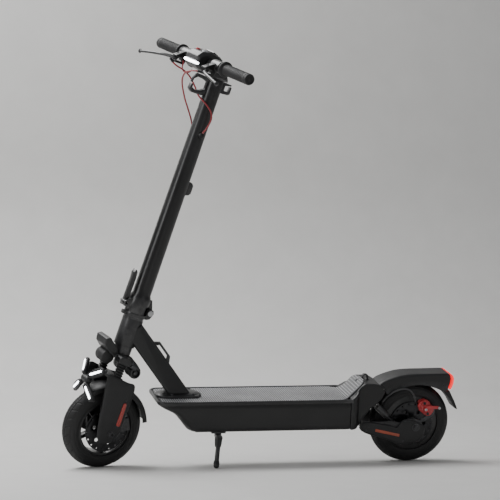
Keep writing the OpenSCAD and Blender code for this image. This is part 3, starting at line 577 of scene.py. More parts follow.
def curve_point(a: Vector, b: Vector, c: Vector, d: Vector, t: float) -> Vector:
    """A point on the smooth curve through four points, between the middle two.

    Args:
        a: the point before the stretch.
        b: the point where the stretch begins.
        c: the point where it ends.
        d: the point after it.
        t: how far along the stretch the point lies, from 0 to 1.

    Returns:
        The point.
    """
    square = (2 * a - 5 * b + 4 * c - d) * t * t
    cube = (3 * b - a - 3 * c + d) * t**3
    return 0.5 * (2 * b + (c - a) * t + square + cube)


def smooth_route(points: Route, steps: int = 8) -> list[Vector]:
    """Fills in a route with a smooth curve through every point.

    Args:
        points: the points to pass through.
        steps: how many points lie between two of them.

    Returns:
        The points of the curve.
    """
    p = [Vector(q) for q in points]
    p = [p[0] * 2 - p[1], *p, p[-1] * 2 - p[-2]]
    out = []
    for a, b, c, d in zip(p, p[1:], p[2:], p[3:]):
        for k in range(steps):
            t = k / steps
            out.append(curve_point(a, b, c, d, t))
    return out + [p[-2]]


def tube(name: str, space: Space, route: Route, radius: float | Callable[[float], tuple[float, float]],
         finish: Finish,
         around: int = 14, steps: int = 8) -> bpy.types.Object:
    """Sweeps a round or oval section along a smooth route with rounded ends.

    Args:
        name: the piece's name.
        space: the space that the route is drawn in.
        route: the points that it passes through.
        radius: a radius, or a function of the fraction along that gives a width and a height.
        finish: the finish that it takes.
        around: how many points each ring has.
        steps: how many rings lie between two points of the route.

    Returns:
        The new object.
    """
    line = smooth_route(route, steps)
    size = radius if callable(radius) else (lambda t: (radius, radius))
    side = None
    rings = []
    last = len(line) - 1
    for i, point in enumerate(line):
        ahead = (line[min(i + 1, last)] - line[max(i - 1, 0)]).normalized()
        side = ahead.orthogonal() if side is None else side - ahead * side.dot(ahead)
        side.normalize()
        up = ahead.cross(side)
        w, h = size(i / last)
        shrinks = ((0.45, -0.35), (0.85, -0.12), (1.0, 0.0)) if i == 0 else ((1.0, 0.0),)
        if i == last:
            shrinks = ((1.0, 0.0), (0.85, 0.12), (0.45, 0.35))
        for scale, shift in shrinks:
            rings.append([space.at(*(point + ahead * (shift * min(w, h)) + scale * (
                side * w * math.cos(2 * math.pi * k / around)
                + up * h * math.sin(2 * math.pi * k / around))))
                for k in range(around)])
    return loft(name, rings, finish)


def arc_corner(cx: float, cy: float, r: float, a0: float, a1: float, steps: int = 5) -> list[Point]:
    """Points on an arc from one angle to another, in degrees."""
    return [(cx + r * math.cos(math.radians(a0 + (a1 - a0) * k / steps)),
             cy + r * math.sin(math.radians(a0 + (a1 - a0) * k / steps)))
            for k in range(steps + 1)]


def rounded(x0: float, x1: float, half: float, r0: float, r1: float, steps: int = 8) -> list[Point]:
    """A rectangle seen from above with one corner radius at its front and one at its back."""
    return (arc_corner(x1 - r1, half - r1, r1, 0, 90, steps)
            + arc_corner(x0 + r0, half - r0, r0, 90, 180, steps)
            + arc_corner(x0 + r0, -half + r0, r0, 180, 270, steps)
            + arc_corner(x1 - r1, -half + r1, r1, 270, 360, steps))


def plate(name: str, space: Space, outline: Sequence[Point], y0: float, y1: float, finish: Finish,
          edge: float = 1.5,
          segments: int = 3) -> bpy.types.Object:
    """A flat plate seen from the side, with its edges rounded.

    Args:
        name: the piece's name.
        space: the space that the sizes are drawn in.
        outline: the outline as X and Z, in millimetres.
        y0: where it begins along Y.
        y1: where it ends along Y.
        finish: the finish that it takes.
        edge: how far the edges are rounded, in millimetres.
        segments: how many facets a rounded edge has.

    Returns:
        The new object.
    """
    flat = [(x, z) for x, z in outline]
    rings = [[space.at(x, y, z) for x, z in flat] for y in (y0, y1)]
    piece = loft(name, rings, finish)
    return bevel(piece, edge, segments)


def bevel(piece: bpy.types.Object, width: float, segments: int = 3,
          angle: float = 30.0) -> bpy.types.Object:
    """Rounds every edge of a piece that is sharper than an angle.

    Args:
        piece: the piece.
        width: how far the edges are rounded, in millimetres.
        segments: how many facets a rounded edge has.
        angle: edges sharper than this are rounded, in degrees.

    Returns:
        The same piece.
    """
    modifier = piece.modifiers.new("edges", "BEVEL")
    modifier.width = width * MM
    modifier.segments = segments
    modifier.limit_method = "ANGLE"
    modifier.angle_limit = math.radians(angle)
    modifier.use_clamp_overlap = True
    return settle(piece)


def settle(piece: bpy.types.Object, smooth: float = 40.0) -> bpy.types.Object:
    """Turns a piece's modifiers into plain mesh.

    Args:
        piece: the piece.
        smooth: the sharpest angle that is shaded smooth, in degrees.

    Returns:
        The same piece.
    """
    bpy.context.view_layer.update()
    evaluated = piece.evaluated_get(bpy.context.evaluated_depsgraph_get())
    mesh = bpy.data.meshes.new_from_object(evaluated)
    piece.modifiers.clear()
    old = piece.data
    piece.data = mesh
    bpy.data.meshes.remove(old)
    mesh.name = piece.name
    shade(mesh, smooth)
    return piece


def copy_of(node: str, name: str, finish: Finish) -> bpy.types.Object:
    """A copy of a CAD node's mesh with its loose triangles joined into flat faces.

    Args:
        node: the CAD node.
        name: the piece's name.
        finish: the finish that it takes.

    Returns:
        The new object.
    """
    mesh = frame["nodes"][node].data.copy()
    mesh.name = name
    shape = bmesh.new()
    shape.from_mesh(mesh)
    bmesh.ops.remove_doubles(shape, verts=shape.verts, dist=JOIN_DISTANCE)
    bmesh.ops.dissolve_limit(shape, angle_limit=FLAT_ANGLE, verts=shape.verts, edges=shape.edges)
    shape.to_mesh(mesh)
    shape.free()
    for key in list(mesh.attributes.keys()):
        if key == "custom_normal":
            mesh.attributes.remove(mesh.attributes[key])
    mesh.materials.clear()
    mesh.materials.append(finish.material())
    piece = bpy.data.objects.new(name, mesh)
    bpy.context.scene.collection.objects.link(piece)
    shade(mesh, 30.0)
    return piece


def eased(node: str, finish: Finish, width: float, segments: int = 2) -> bpy.types.Object:
    """A CAD node's shape with its edges rounded, which stands for the node.

    Args:
        node: the CAD node.
        finish: the finish that it takes.
        width: how far the edges are rounded, in millimetres.
        segments: how many facets a rounded edge has.

    Returns:
        The new object.
    """
    piece = copy_of(node, node + "_eased", finish)
    bevel(piece, width, segments)
    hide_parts(node)
    return piece


def cast(node: str, finish: Finish, voxel: float, passes: int = 6, factor: float = 0.5) -> bpy.types.Object:
    """A CAD node's shape with soft blended edges, as a casting has, which stands for the node.

    Args:
        node: the CAD node.
        finish: the finish that it takes.
        voxel: the size of the remeshed skin, in millimetres.
        passes: how often the skin is smoothed.
        factor: how strongly each pass smooths.

    Returns:
        The new object.
    """
    piece = copy_of(node, node + "_cast", finish)
    remesh = piece.modifiers.new("skin", "REMESH")
    remesh.mode = "VOXEL"
    remesh.voxel_size = voxel * MM
    remesh.adaptivity = 0.0
    soften = piece.modifiers.new("soften", "SMOOTH")
    soften.factor = factor
    soften.iterations = passes
    settle(piece, 60.0)
    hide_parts(node)
    return piece


def body_of(node: str) -> str:
    """The body that a CAD node belongs to."""
    return frame["nodes"][node]["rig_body"]


def install(piece: bpy.types.Object, body: str) -> bpy.types.Object:
    """Puts a finished piece on its body and logs its name, body and face count.

    Args:
        piece: the piece.
        body: the CAD body that it rides on.

    Returns:
        The same piece.
    """
    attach(piece, body)
    LOG.info("%s on %s, %d faces", piece.name, body, len(piece.data.polygons))
    return piece


# ---------- shapes that several sub-assemblies share ----------


def upright(space: Space) -> Space:
    """A space whose Y axis is the given space's Z, for turning pieces about Z."""
    return Space(space.origin, space.x, space.z, -space.y)


def aimed(origin: Vector, ahead: Vector) -> Space:
    """A space at a point whose Y axis looks along a direction, for turned pieces.

    Args:
        origin: where the space begins.
        ahead: the direction.

    Returns:
        The space.
    """
    y = ahead.normalized()
    x = y.orthogonal().normalized()
    return Space(origin, x, y, x.cross(y))


def shield(name: str, space: Space, outline: Sequence[Point], y0: float, y1: float, finish: Finish,
           power: float = 5.0, steps: int = 4, middle: Point | None = None) -> bpy.types.Object:
    """A cover that swells from a flat back to a crowned face with a rolled edge.

    Args:
        name: the piece's name.
        space: the space that it is drawn in.
        outline: the outline as X and Z; a smooth curve passes through it.
        y0: where the flat back lies along Y.
        y1: where the top of the crown lies along Y.
        finish: the finish that it takes.
        power: how square the crown is; a large value is flat with a tight edge.
        steps: how many points lie between two points of the outline.
        middle: the point that the rings shrink to.

    Returns:
        The new object.
    """
    count = len(outline)
    around = []
    for i in range(count):
        a, b, c, d = (Vector(outline[(i + k) % count]) for k in (-1, 0, 1, 2))
        for k in range(steps):
            t = k / steps
            around.append(curve_point(a, b, c, d, t))
    centre = Vector(middle) if middle else sum(around, Vector((0.0, 0.0))) / len(around)
    rings = [[space.at(p.x, y0, p.y) for p in around]]
    for s in (1.0, 0.995, 0.985, 0.97, 0.945, 0.91, 0.85, 0.75, 0.55, 0.3, 0.1):
        rise = (1.0 - s**power) ** (1.0 / 2.2)
        y = y0 + (y1 - y0) * (0.35 + 0.65 * rise)
        rings.append([space.at(*_mix(centre, p, s, y)) for p in around])
    return loft(name, rings, finish, smooth=50.0)


def _mix(centre: Vector, point: Vector, share: float, y: float) -> tuple[float, float, float]:
    """A point between a centre and a rim at a distance along Y."""
    p = centre.lerp(point, share)
    return p.x, y, p.y


def socket_screw(radius: float, height: float, around: int = 24) -> bpy.types.Object:
    """A round-headed screw with a hexagonal socket, at the origin with its head along Z.

    Args:
        radius: the head's radius, in millimetres.
        height: the head's height, in millimetres.
        around: how many steps go around.

    Returns:
        The new object.
    """
    hexagon = radius * 0.48

    def hex_radius(k: int) -> float:
        """How far the socket's wall is from the middle at one corner of the ring."""
        turn = (360.0 * k / around) % 60.0 - 30.0
        return hexagon / math.cos(math.radians(turn))

    rings = []
    for r, z in ((radius, 0.0), (radius, height * 0.7), (radius * 0.93, height * 0.9),
                 (radius * 0.8, height)):
        rings.append([(r, z)] * around)
    for z in (height, height * 0.35):
        rings.append([(hex_radius(k), z) for k in range(around)])
    points = [Vector((r * math.cos(2 * math.pi * k / around), r * math.sin(2 * math.pi * k / around),
                      z)) * MM
              for ring in rings for k, (r, z) in enumerate(ring)]
    return mesh_piece("screw_pattern", points, ring_faces(len(rings), around), STEEL)


def rubber_stud(length: float, width: float, height: float) -> bpy.types.Object:
    """A low bump with round ends, longer across than along, at the origin and up Z.

    Args:
        length: half its length across the deck, in millimetres.
        width: half its width along the deck, in millimetres.
        height: its height, in millimetres.

    Returns:
        The new object.
    """
    around = 8
    rings = [(1.0, 0.0), (0.88, 0.75), (0.55, 1.0)]
    points = [Vector((s * width * math.cos(2 * math.pi * k / around),
                      s * length * math.sin(2 * math.pi * k / around),
                      z * height)) * MM for s, z in rings for k in range(around)]
    return mesh_piece("stud_pattern", points, ring_faces(len(rings), around), MAT_RUBBER)


def scatter_tree() -> bpy.types.NodeTree:
    """Geometry Nodes that set one item on every point, turned to the point's own directions.

    Returns:
        The node group.
    """
    tree = bpy.data.node_groups.new("set_on_points", "GeometryNodeTree")
    tree.interface.new_socket("Geometry", in_out="INPUT", socket_type="NodeSocketGeometry")
    tree.interface.new_socket("Item", in_out="INPUT", socket_type="NodeSocketObject")
    tree.interface.new_socket("Size", in_out="INPUT", socket_type="NodeSocketFloat").default_value = 1.0
    tree.interface.new_socket("Finish", in_out="INPUT", socket_type="NodeSocketMaterial")
    tree.interface.new_socket("Geometry", in_out="OUTPUT", socket_type="NodeSocketGeometry")
    n = Nodes(tree)
    enter, leave = n.add("NodeGroupInput"), n.add("NodeGroupOutput")
    aim = n.add("GeometryNodeInputNamedAttribute", data_type="FLOAT_VECTOR", values={"Name": "aim"})
    ahead = n.add("GeometryNodeInputNamedAttribute", data_type="FLOAT_VECTOR", values={"Name": "ahead"})
    up = n.add("FunctionNodeAlignRotationToVector", axis="Z")
    turn = n.add("FunctionNodeAlignRotationToVector", axis="X", pivot_axis="Z")
    n.join(aim.outputs["Attribute"], up.inputs["Vector"])
    n.join(up.outputs["Rotation"], turn.inputs["Rotation"])
    n.join(ahead.outputs["Attribute"], turn.inputs["Vector"])
    item = n.add("GeometryNodeObjectInfo", transform_space="ORIGINAL")
    n.join(enter.outputs["Item"], item.inputs["Object"])
    points = n.add("GeometryNodeInstanceOnPoints")
    n.join(enter.outputs["Geometry"], points.inputs["Points"])
    n.join(item.outputs["Geometry"], points.inputs["Instance"])
    n.join(turn.outputs["Rotation"], points.inputs["Rotation"])
    n.join(enter.outputs["Size"], points.inputs["Scale"])
    real = n.add("GeometryNodeRealizeInstances")
    n.join(points.outputs["Instances"], real.inputs["Geometry"])
    finish = n.add("GeometryNodeSetMaterial")
    n.join(real.outputs["Geometry"], finish.inputs["Geometry"])
    n.join(enter.outputs["Finish"], finish.inputs["Material"])
    n.join(finish.outputs["Geometry"], leave.inputs["Geometry"])
    return tree


@dataclass(frozen=True)
class Spot:
    """A place that an item is set on: where, which way is up and which way is ahead."""

    place: Vector
    up: Vector
    ahead: Vector


def scatter(name: str, spots: Sequence[Spot], item: bpy.types.Object, finish: Finish,
            size: float = 1.0) -> bpy.types.Object:
    """Sets a copy of an item on every spot and gives the result as one plain mesh.

    Args:
        name: the new piece's name.
        spots: where the copies go.
        item: the item, which is drawn at the origin and left in place.
        finish: the finish of every copy.
        size: how much each copy is scaled.

    Returns:
        The new piece.
    """
    mesh = bpy.data.meshes.new(name)
    mesh.from_pydata([tuple(s.place) for s in spots], [], [])
    for key, values in (("aim", [s.up for s in spots]), ("ahead", [s.ahead for s in spots])):
        attribute = mesh.attributes.new(key, "FLOAT_VECTOR", "POINT")
        attribute.data.foreach_set("vector", [c for v in values for c in v])
    piece = bpy.data.objects.new(name, mesh)
    bpy.context.scene.collection.objects.link(piece)
    modifier = piece.modifiers.new("copies", "NODES")
    modifier.node_group = group("set_on_points", scatter_tree)
    sockets = {s.name: s.identifier
               for s in modifier.node_group.interface.items_tree if s.in_out == "INPUT"}
    modifier[sockets["Item"]] = item
    modifier[sockets["Size"]] = size
    modifier[sockets["Finish"]] = finish.material()
    settle(piece, 35.0)
    for key in ("aim", "ahead"):
        if key in piece.data.attributes:
            piece.data.attributes.remove(piece.data.attributes[key])
    return piece


def discard(*items: bpy.types.Object) -> None:
    """Removes objects that only served as patterns."""
    for item in items:
        bpy.data.objects.remove(item)


def screws(name: str, body: str, spots: Sequence[Spot], radius: float, height: float,
           finish: Finish = DARK_STEEL) -> bpy.types.Object:
    """Sets socket screws on a body.

    Args:
        name: the piece's name.
        body: the CAD body that it rides on.
        spots: where the screws go.
        radius: the head's radius, in millimetres.
        height: the head's height, in millimetres.
        finish: the finish that it takes.

    Returns:
        The new object.
    """
    pattern = socket_screw(radius, height)
    piece = scatter(name, spots, pattern, finish)
    discard(pattern)
    return install(piece, body)


def side_spot(space: Space, x: float, y: float, z: float) -> Spot:
    """A spot on a side face that looks away from the scooter's middle."""
    return Spot(space.at(x, y, z), space.y * (1.0 if y > 0 else -1.0), space.x)


def inter(x: float, table: Sequence[Point]) -> float:
    """Reads a value between the points of a short table that rises in X.

    Args:
        x: the place along X.
        table: pairs of X and value, rising in X.

    Returns:
        The value there.
    """
    if x <= table[0][0]:
        return table[0][1]
    for (a, u), (b, v) in zip(table, table[1:]):
        if x <= b:
            return u + (v - u) * (x - a) / (b - a)
    return table[-1][1]


# ---------- the deck ----------


@dataclass
class Deck:
    """The tray, its rim, the studded mat that climbs the kick plate, and the screws."""

    front_x: float = -334.0
    rear_x: float = 262.0
    half: float = 96.0
    rim: float = 9.0
    kick_half: float = 56.0
    kick_end_x: float = 316.0
    kick_round: float = 22.0
    stud_along: float = 6.6
    stud_across: float = 5.0
    flange_x: tuple[float, float] = (-330.0, -190.0)
    flange_half: float = 44.0

    def build(self) -> set[str]:
        """Makes the deck's pieces and gives the nodes that they stand for.

        Returns:
            The names of the nodes that its pieces stand for.
        """
        tray = self._tray()
        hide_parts("deck_shell")
        install(tray, "root")
        rim = self._rim()
        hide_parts("deck_rim")
        install(rim, "root")
        mat = self._mat()
        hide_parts("deck_mat")
        install(mat, "root")
        install(self._shoe(), "root")
        pattern = rubber_stud(2.0, 1.9, 0.9)
        install(scatter("mat_studs", self._stud_spots(), pattern, STUD_RUBBER), "root")
        discard(pattern)
        self._screws()
        self._stand()
        return {"deck_shell", "deck_rim", "deck_mat", "deck_screws"}

    def _stand(self) -> None:
        """The kickstand's thick socket and the rubber boot on its foot."""
        top, foot = Vector((-146.0, -82.0, 108.0)), Vector((-160.0, -126.7, 32.8))
        at = [tuple(top.lerp(foot, t)) for t in (0.02, 0.12, 0.24, 0.34)]
        socket = tube("stand_socket", DECK, at, lambda t: (11.5 - 2.6 * t * t, 11.5 - 2.6 * t * t),
                      CAST_BLACK, 24, 5)
        install(socket, "kickstand")
        at = [tuple(top.lerp(foot, t)) for t in (0.84, 0.9, 0.95)]
        boot = tube("stand_boot", DECK, at, lambda t: (8.2 + 1.4 * t, 8.2 + 1.4 * t), BLACK_RUBBER, 24, 5)
        install(boot, "kickstand")

    def _tray(self) -> bpy.types.Object:
        """The tray: a boat with a raked front, tucked in under the rim and at its belly.

        Returns:
            The new object.
        """
        levels = (
            (213.0, 0.0, 89.0), (207.5, 2.0, 89.0), (203.5, 8.0, 90.2), (199.0, 15.0, 91.8),
            (192.0, 29.0, 92.0),
            (184.0, 45.0, 92.0), (176.0, 56.0, 92.0), (164.0, 66.0, 92.0), (150.0, 77.0, 91.8),
            (140.0, 85.0, 91.2),
            (133.0, 91.0, 89.8), (128.5, 97.0, 87.2), (125.6, 103.0, 83.6), (124.5, 108.0, 79.5),
        )
        rings = [[DECK.at(x, y, z) for x, y in rounded(self.front_x + inset, self.rear_x, half, 26.0, 3.0)]
                 for z, inset, half in levels]
        return loft("deck_tray", rings, DECK_PLASTIC, smooth=40.0)

    def _rim(self) -> bpy.types.Object:
        """The bead around the mat, open where the kick plate begins.

        Returns:
            The new object.
        """
        middle = self.half - self.rim / 2
        front = self.front_x + self.rim / 2 - 2
        half_line = [(self.rear_x + 6, middle)] + [(x, middle) for x in range(240, int(front) + 30, -40)]
        half_line += arc_corner(front + 26, middle - 26, 26, 90, 180, 10)
        line = [Vector(p) for p in half_line] + [Vector((x, -y)) for x, y in reversed(half_line)]
        rings = []
        for i, p in enumerate(line):
            ahead = (line[min(i + 1, len(line) - 1)] - line[max(i - 1, 0)]).normalized()
            out = Vector((-ahead.y, ahead.x))
            if out.dot(p - Vector((0.0, 0.0))) < 0:
                out = -out
            ring = []
            for k in range(16):
                a = 2 * math.pi * k / 16
                u, v = math.cos(a), math.sin(a)
                u = math.copysign(abs(u) ** 0.7, u) * self.rim / 2
                v = math.copysign(abs(v) ** 0.7, v) * 5.6
                q = p + out * u
                ring.append(DECK.at(q.x, q.y, 215.4 + v))
            rings.append(ring)
        return loft("deck_bead", rings, CHARCOAL, smooth=50.0)

    def _shoe(self) -> bpy.types.Object:
        """The smooth foot that the neck stands on, round at both ends.

        Returns:
            The new object.
        """
        half = [(-329, 14), (-318, 30), (-300, 40), (-270, 44), (-238, 43), (-212, 36), (-196, 22),
                (-190, 8)]
        outline = half + [(x, -y) for x, y in reversed(half)]
        return shield("neck_shoe", upright(DECK), outline, 216.0, 233.5, CHARCOAL, 3.2, middle=(-258, 0))

    def _height(self, x: float) -> float:
        """Height of the mat's upper face."""
        return inter(x, ((244.0, 219.0), (252.0, 219.6), (260.0, 222.4), (268.0, 228.0), (278.0, 236.4),
                         (288.0, 246.4),
                         (298.0, 256.6), (304.0, 261.6), (310.0, 264.8), (317.0, 266.2)))

    def _half_width(self, x: float) -> float:
        """Half width of the mat, round at both ends and narrow on the kick plate.

        Args:
            x: the place along X.

        Returns:
            Half the width there, in millimetres.
        """
        inner = self.half - self.rim - 0.3
        front = self.front_x + self.rim + 0.3
        if x < front + 19.0:
            d = front + 19.0 - x
            return inner - 19.0 + math.sqrt(max(0.0, 19.0**2 - d * d))
        if x < 226.0:
            return inner
        t = min(1.0, (x - 226.0) / 52.0)
        width = inner + (self.kick_half - inner) * (t * t * (3 - 2 * t))
        start = self.kick_end_x - self.kick_round + 2.0
        if x > start:
            width *= math.sqrt(max(0.02, 1 - ((x - start) / self.kick_round) ** 2))
        return width

    def _mat(self) -> bpy.types.Object:
        """The mat's body, with its edges rolled down.

        Returns:
            The new object.
        """
        front = self.front_x + self.rim + 0.3
        stations = [front + 19.0 * (1 - math.cos(math.pi / 2 * k / 8)) for k in range(9)]
        stations += [-260.0 + 60.0 * k for k in range(9)]
        stations += [226.0 + 3.5 * k for k in range(20)] + [294.0 + 2.0 * k for k in range(12)]
        rings = []
        for x in stations:
            w, z = self._half_width(x), self._height(x)
            slope = (self._height(x + 2) - self._height(x - 2)) / 4
            down = Vector((slope, -1.0)).normalized()
            edge = [(-w, 3.9), (-w, 1.2), (-w + 0.4, 0.5), (-w + 1.2, 0.1), (-w + 2.5, 0.0)]
            across = (edge + [(-w + (2 * w) * k / 8, 0.0) for k in range(1, 8)]
                      + [(-y, d) for y, d in reversed(edge)])
            rings.append([DECK.at(x + down.x * d, y, z + down.y * d) for y, d in across])
        return loft("deck_mat_body", rings, MAT_RUBBER, smooth=50.0)

    def _stud_spots(self) -> list[Spot]:
        """Staggered rows of studs over the mat, clear of its edge and of the neck's flange.

        Returns:
            The spots.
        """
        spots = []
        rows = int((self.kick_end_x - 6 - self.front_x) / self.stud_along)
        for row in range(rows):
            x = self.front_x + self.rim + 6 + row * self.stud_along
            limit = self._half_width(x) - 4.0
            shift = 0.5 * (row % 2)
            count = int(self.half / self.stud_across) + 1
            for k in range(-count, count + 1):
                y = (k + shift) * self.stud_across
                if abs(y) > limit:
                    continue
                if self.flange_x[0] < x < self.flange_x[1] and abs(y) < self.flange_half:
                    continue
                slope = (self._height(x + 2) - self._height(x - 2)) / 4
                if x > 296 and math.hypot(x - 301.0, y) < 8.0:
                    continue
                up = DECK.way(-slope, 0.0, 1.0)
                spots.append(Spot(DECK.at(x, y, self._height(x) - 0.15), up, DECK.way(1.0, 0.0, slope)))
        return spots

    def _screws(self) -> None:
        """The neck's four bolts, the belly cover's four screws and the kick plate's one."""
        flange = [Spot(DECK.at(x, y, 227.0), DECK.z, DECK.x) for x in (-284.0, -220.0)
                  for y in (-33.0, 33.0)]
        bolts = screws("flange_bolts", "root", flange, 5.0, 5.4)
        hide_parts("deck_screws")
        belly = [Spot(DECK.at(x, y, 124.4), -DECK.z, DECK.x) for x in (-206.0, 240.0)
                 for y in (-68.0, 68.0)]
        screws("belly_screws", "root", belly, 4.5, 1.2)
        slope = DECK.way(-0.8, 0.0, 1.0)
        screws("kick_screw", "root", [Spot(DECK.at(301.0, 0.0, 258.6), slope, DECK.y)], 5.0,
               1.6)


# ---------- the tail ----------


@dataclass
class Tail:
    """The casting behind the deck, the rear fender with its lamp, and their screws."""

    half: float = 44.0
    roll: float = 8.0
    wall: float = 3.5

    def build(self) -> set[str]:
        """Makes the tail's pieces and gives the nodes that they stand for.

        Returns:
            The names of the nodes that its pieces stand for.
        """
        install(cast("rear_casting", CAST_BLACK, 2.0, 26), "root")
        fender = self._fender()
        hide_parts("rear_fender")
        install(fender, "root")
        back = plate("fender_back", DECK,
                     [(576, 283), (588, 281.5), (593, 270), (591, 254), (585, 237), (576, 240)],
                     -41.0, 41.0, SOFT_PLASTIC, 2.0)
        install(back, "root")
        install(self._lamp(), "root")
        spots = [side_spot(DECK, x, side * self.half, z) for side in (-1, 1) for x,
                 z in ((398.0, 246.0), (570.0, 250.0))]
        screws("fender_screws", "root", spots, 3.6, 1.6)
        spots = [side_spot(DECK, x, side * 63.4, z) for side in (-1, 1) for x,
                 z in ((292.0, 226.0), (300.0, 142.0))]
        screws("casting_screws", "root", spots, 4.5, 2.4)
        return {"rear_casting", "rear_fender", "tail_light"}

    def _lamp(self) -> bpy.types.Object:
        """The lamp: a band across the fender's rear edge that comes round its sides.

        Returns:
            The new object.
        """
        edge = [(587, 285.5), (594, 284), (599.5, 278), (602.5, 269), (602, 257), (598.5, 245),
                (593.5, 235.5), (587.5, 237),
                (592, 248), (595.3, 258), (596, 268), (593.5, 276)]
        lamp = plate("tail_lamp", DECK, edge, -self.half - 0.6, self.half + 0.6, TAIL_LIGHT, 3.0, 4)
        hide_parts("tail_light")
        return lamp

    def _fender(self) -> bpy.types.Object:
        """The fender: a rolled top with skirts down to the wheel arch.

        Returns:
            The new object.
        """
        top = [(362, 253), (371, 260), (384, 266.6), (408, 275), (434, 281.5), (466, 284.6), (510, 285.3),
               (550, 285.7),
               (578, 286), (587, 284.6), (591, 279)]
        arch = [(378, 243), (384, 232), (391, 222), (405, 226.5), (424, 236), (451, 246), (483, 251),
                (516, 249),
                (549, 239), (573, 229), (584, 236)]
        upper = smooth_route([(x, z, 0.0) for x, z in top], 3)
        lower = smooth_route([(x, z, 0.0) for x, z in arch], 3)
        rings = []
        for t, b in zip(upper, lower):
            run = Vector((b.x - t.x, b.y - t.y))
            reach = run.length
            run.normalize()
            half = self._section(self.half, self.roll, reach, 0.0)
            inside = self._section(self.half - self.wall, self.roll - self.wall, reach, self.wall)
            outer = [(-y, d) for y, d in reversed(half)] + half[1:]
            inner = [(-y, d) for y, d in reversed(inside)] + inside[1:]
            rings.append([DECK.at(t.x + run.x * d, y, t.y + run.y * d) for y, d in outer + inner[::-1]])
        return loft("fender_shell", rings, SOFT_PLASTIC, smooth=38.0)

    def _section(self, half: float, roll: float, reach: float, drop: float) -> list[Point]:
        """Half of a section as distance from the middle and depth below the top.

        Args:
            half: half its width.
            roll: the radius of its rolled shoulder.
            reach: how deep the skirt goes.
            drop: how far the top lies below the highest line.

        Returns:
            The points of the half section.
        """
        flat = half - roll
        points = [(0.0, drop), (flat * 0.5, drop), (flat, drop)]
        points += [(flat + roll * math.sin(a), drop + roll * (1 - math.cos(a))) for a in
                   (math.pi / 2 * k / 7 for k in range(1, 8))]
        deep = max(reach, drop + roll + 1.0)
        return points + [(half, drop + roll + (deep - drop - roll) * t) for t in (0.15, 0.5, 1.0)]


# ---------- wheels ----------


@dataclass
class Tyre:
    """A road tyre with a siped tread, ribs on its walls and a flat seat on the rim."""

    node: str
    hub: Space
    body: str
    radius: float = 127.0
    half: float = 30.0
    bead: float = 86.0
    around: int = 504
    across: int = 56
    blocks: int = 28

    def build(self) -> None:
        """Makes the tyre on its wheel."""
        ring = self.radius - self.half
        lowest = math.asin((self.bead - ring) / self.half)
        span = math.pi - 2 * lowest
        rings = []
        for k in range(self.around):
            turn = 2 * math.pi * k / self.around
            points = []
            for j in range(self.across + 1):
                a = lowest + span * j / self.across
                r = self.half - self._cut(turn, a)
                points.append((r * math.cos(a), ring + r * math.sin(a)))
            c, s = math.cos(turn), math.sin(turn)
            rings.append([self.hub.at(h * c, y, h * s) for y, h in points])
        piece = loft(self.node + "_tread", rings, TYRE_RUBBER, looped=True, smooth=30.0)
        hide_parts(self.node)
        install(piece, self.body)

    def _cut(self, turn: float, a: float) -> float:
        """How deep the surface lies below the plain round section.

        Args:
            turn: the angle around the wheel.
            a: the angle around the section.

        Returns:
            The depth in millimetres.
        """
        from_top = (a - math.pi / 2) / (math.pi / 2)
        lateral = abs(from_top)
        depth = 0.0
        if lateral < 0.62:
            for line in (0.0, 0.2):
                if abs(lateral - line) < 0.022:
                    depth = 1.3
            phase = (turn * self.blocks / (2 * math.pi)
                     + (0.9 * lateral if from_top > 0 else 0.9 * lateral + 0.5)) % 1.0
            if 0.26 < lateral < 0.58 and phase < 0.14:
                depth = 1.5
            phase = (turn * self.blocks * 2 / (2 * math.pi) - 0.7 * lateral) % 1.0
            if 0.05 < lateral < 0.17 and phase < 0.16:
                depth = 1.1
        else:
            wall = (lateral - 0.62) / 0.6
            for line in (0.08, 0.5, 0.62):
                if abs(wall - line) < 0.03:
                    depth = 0.7
        return depth


@dataclass
class Wheels:
    """Both tyres, the disc bolts on both wheels and the screws on the motor."""

    def build(self) -> set[str]:
        """Makes the wheels' pieces and gives the nodes that they stand for.

        Returns:
            The names of the nodes that its pieces stand for.
        """
        Tyre("front_tyre", FRONT_HUB, "front_wheel").build()
        Tyre("rear_tyre", REAR_HUB, "rear_wheel").build()
        spots = [Spot(FRONT_HUB.at(16.5 * math.cos(a), -33.6, 16.5 * math.sin(a)), -FRONT_HUB.y,
                      FRONT_HUB.x)
                 for a in (2 * math.pi * k / 6 for k in range(6))]
        screws("front_disc_bolts", "front_wheel", spots, 2.6, 1.8)
        spots = [Spot(REAR_HUB.at(25.0 * math.cos(a), -33.6, 25.0 * math.sin(a)), -REAR_HUB.y, REAR_HUB.x)
                 for a in (2 * math.pi * k / 6 for k in range(6))]
        screws("rear_disc_bolts", "rear_wheel", spots, 2.8, 1.8)
        spots = [Spot(REAR_HUB.at(58.0 * math.cos(a), 27.0, 58.0 * math.sin(a)), REAR_HUB.y, REAR_HUB.x)
                 for a in (2 * math.pi * k / 9 for k in range(9))]
        screws("motor_screws", "rear_wheel", spots, 3.2, 1.6)
        return {"front_tyre", "rear_tyre"}


# ---------- the fork ----------

LEG_FACE = 64.0
LEG_COVER = [(-54, 300), (-48, 311), (-20, 306), (20, 299), (46, 292), (50, 232), (48, 168), (49, 145),
             (32, 112),
             (6, 101), (-18, 112), (-30, 150), (-42, 230)]


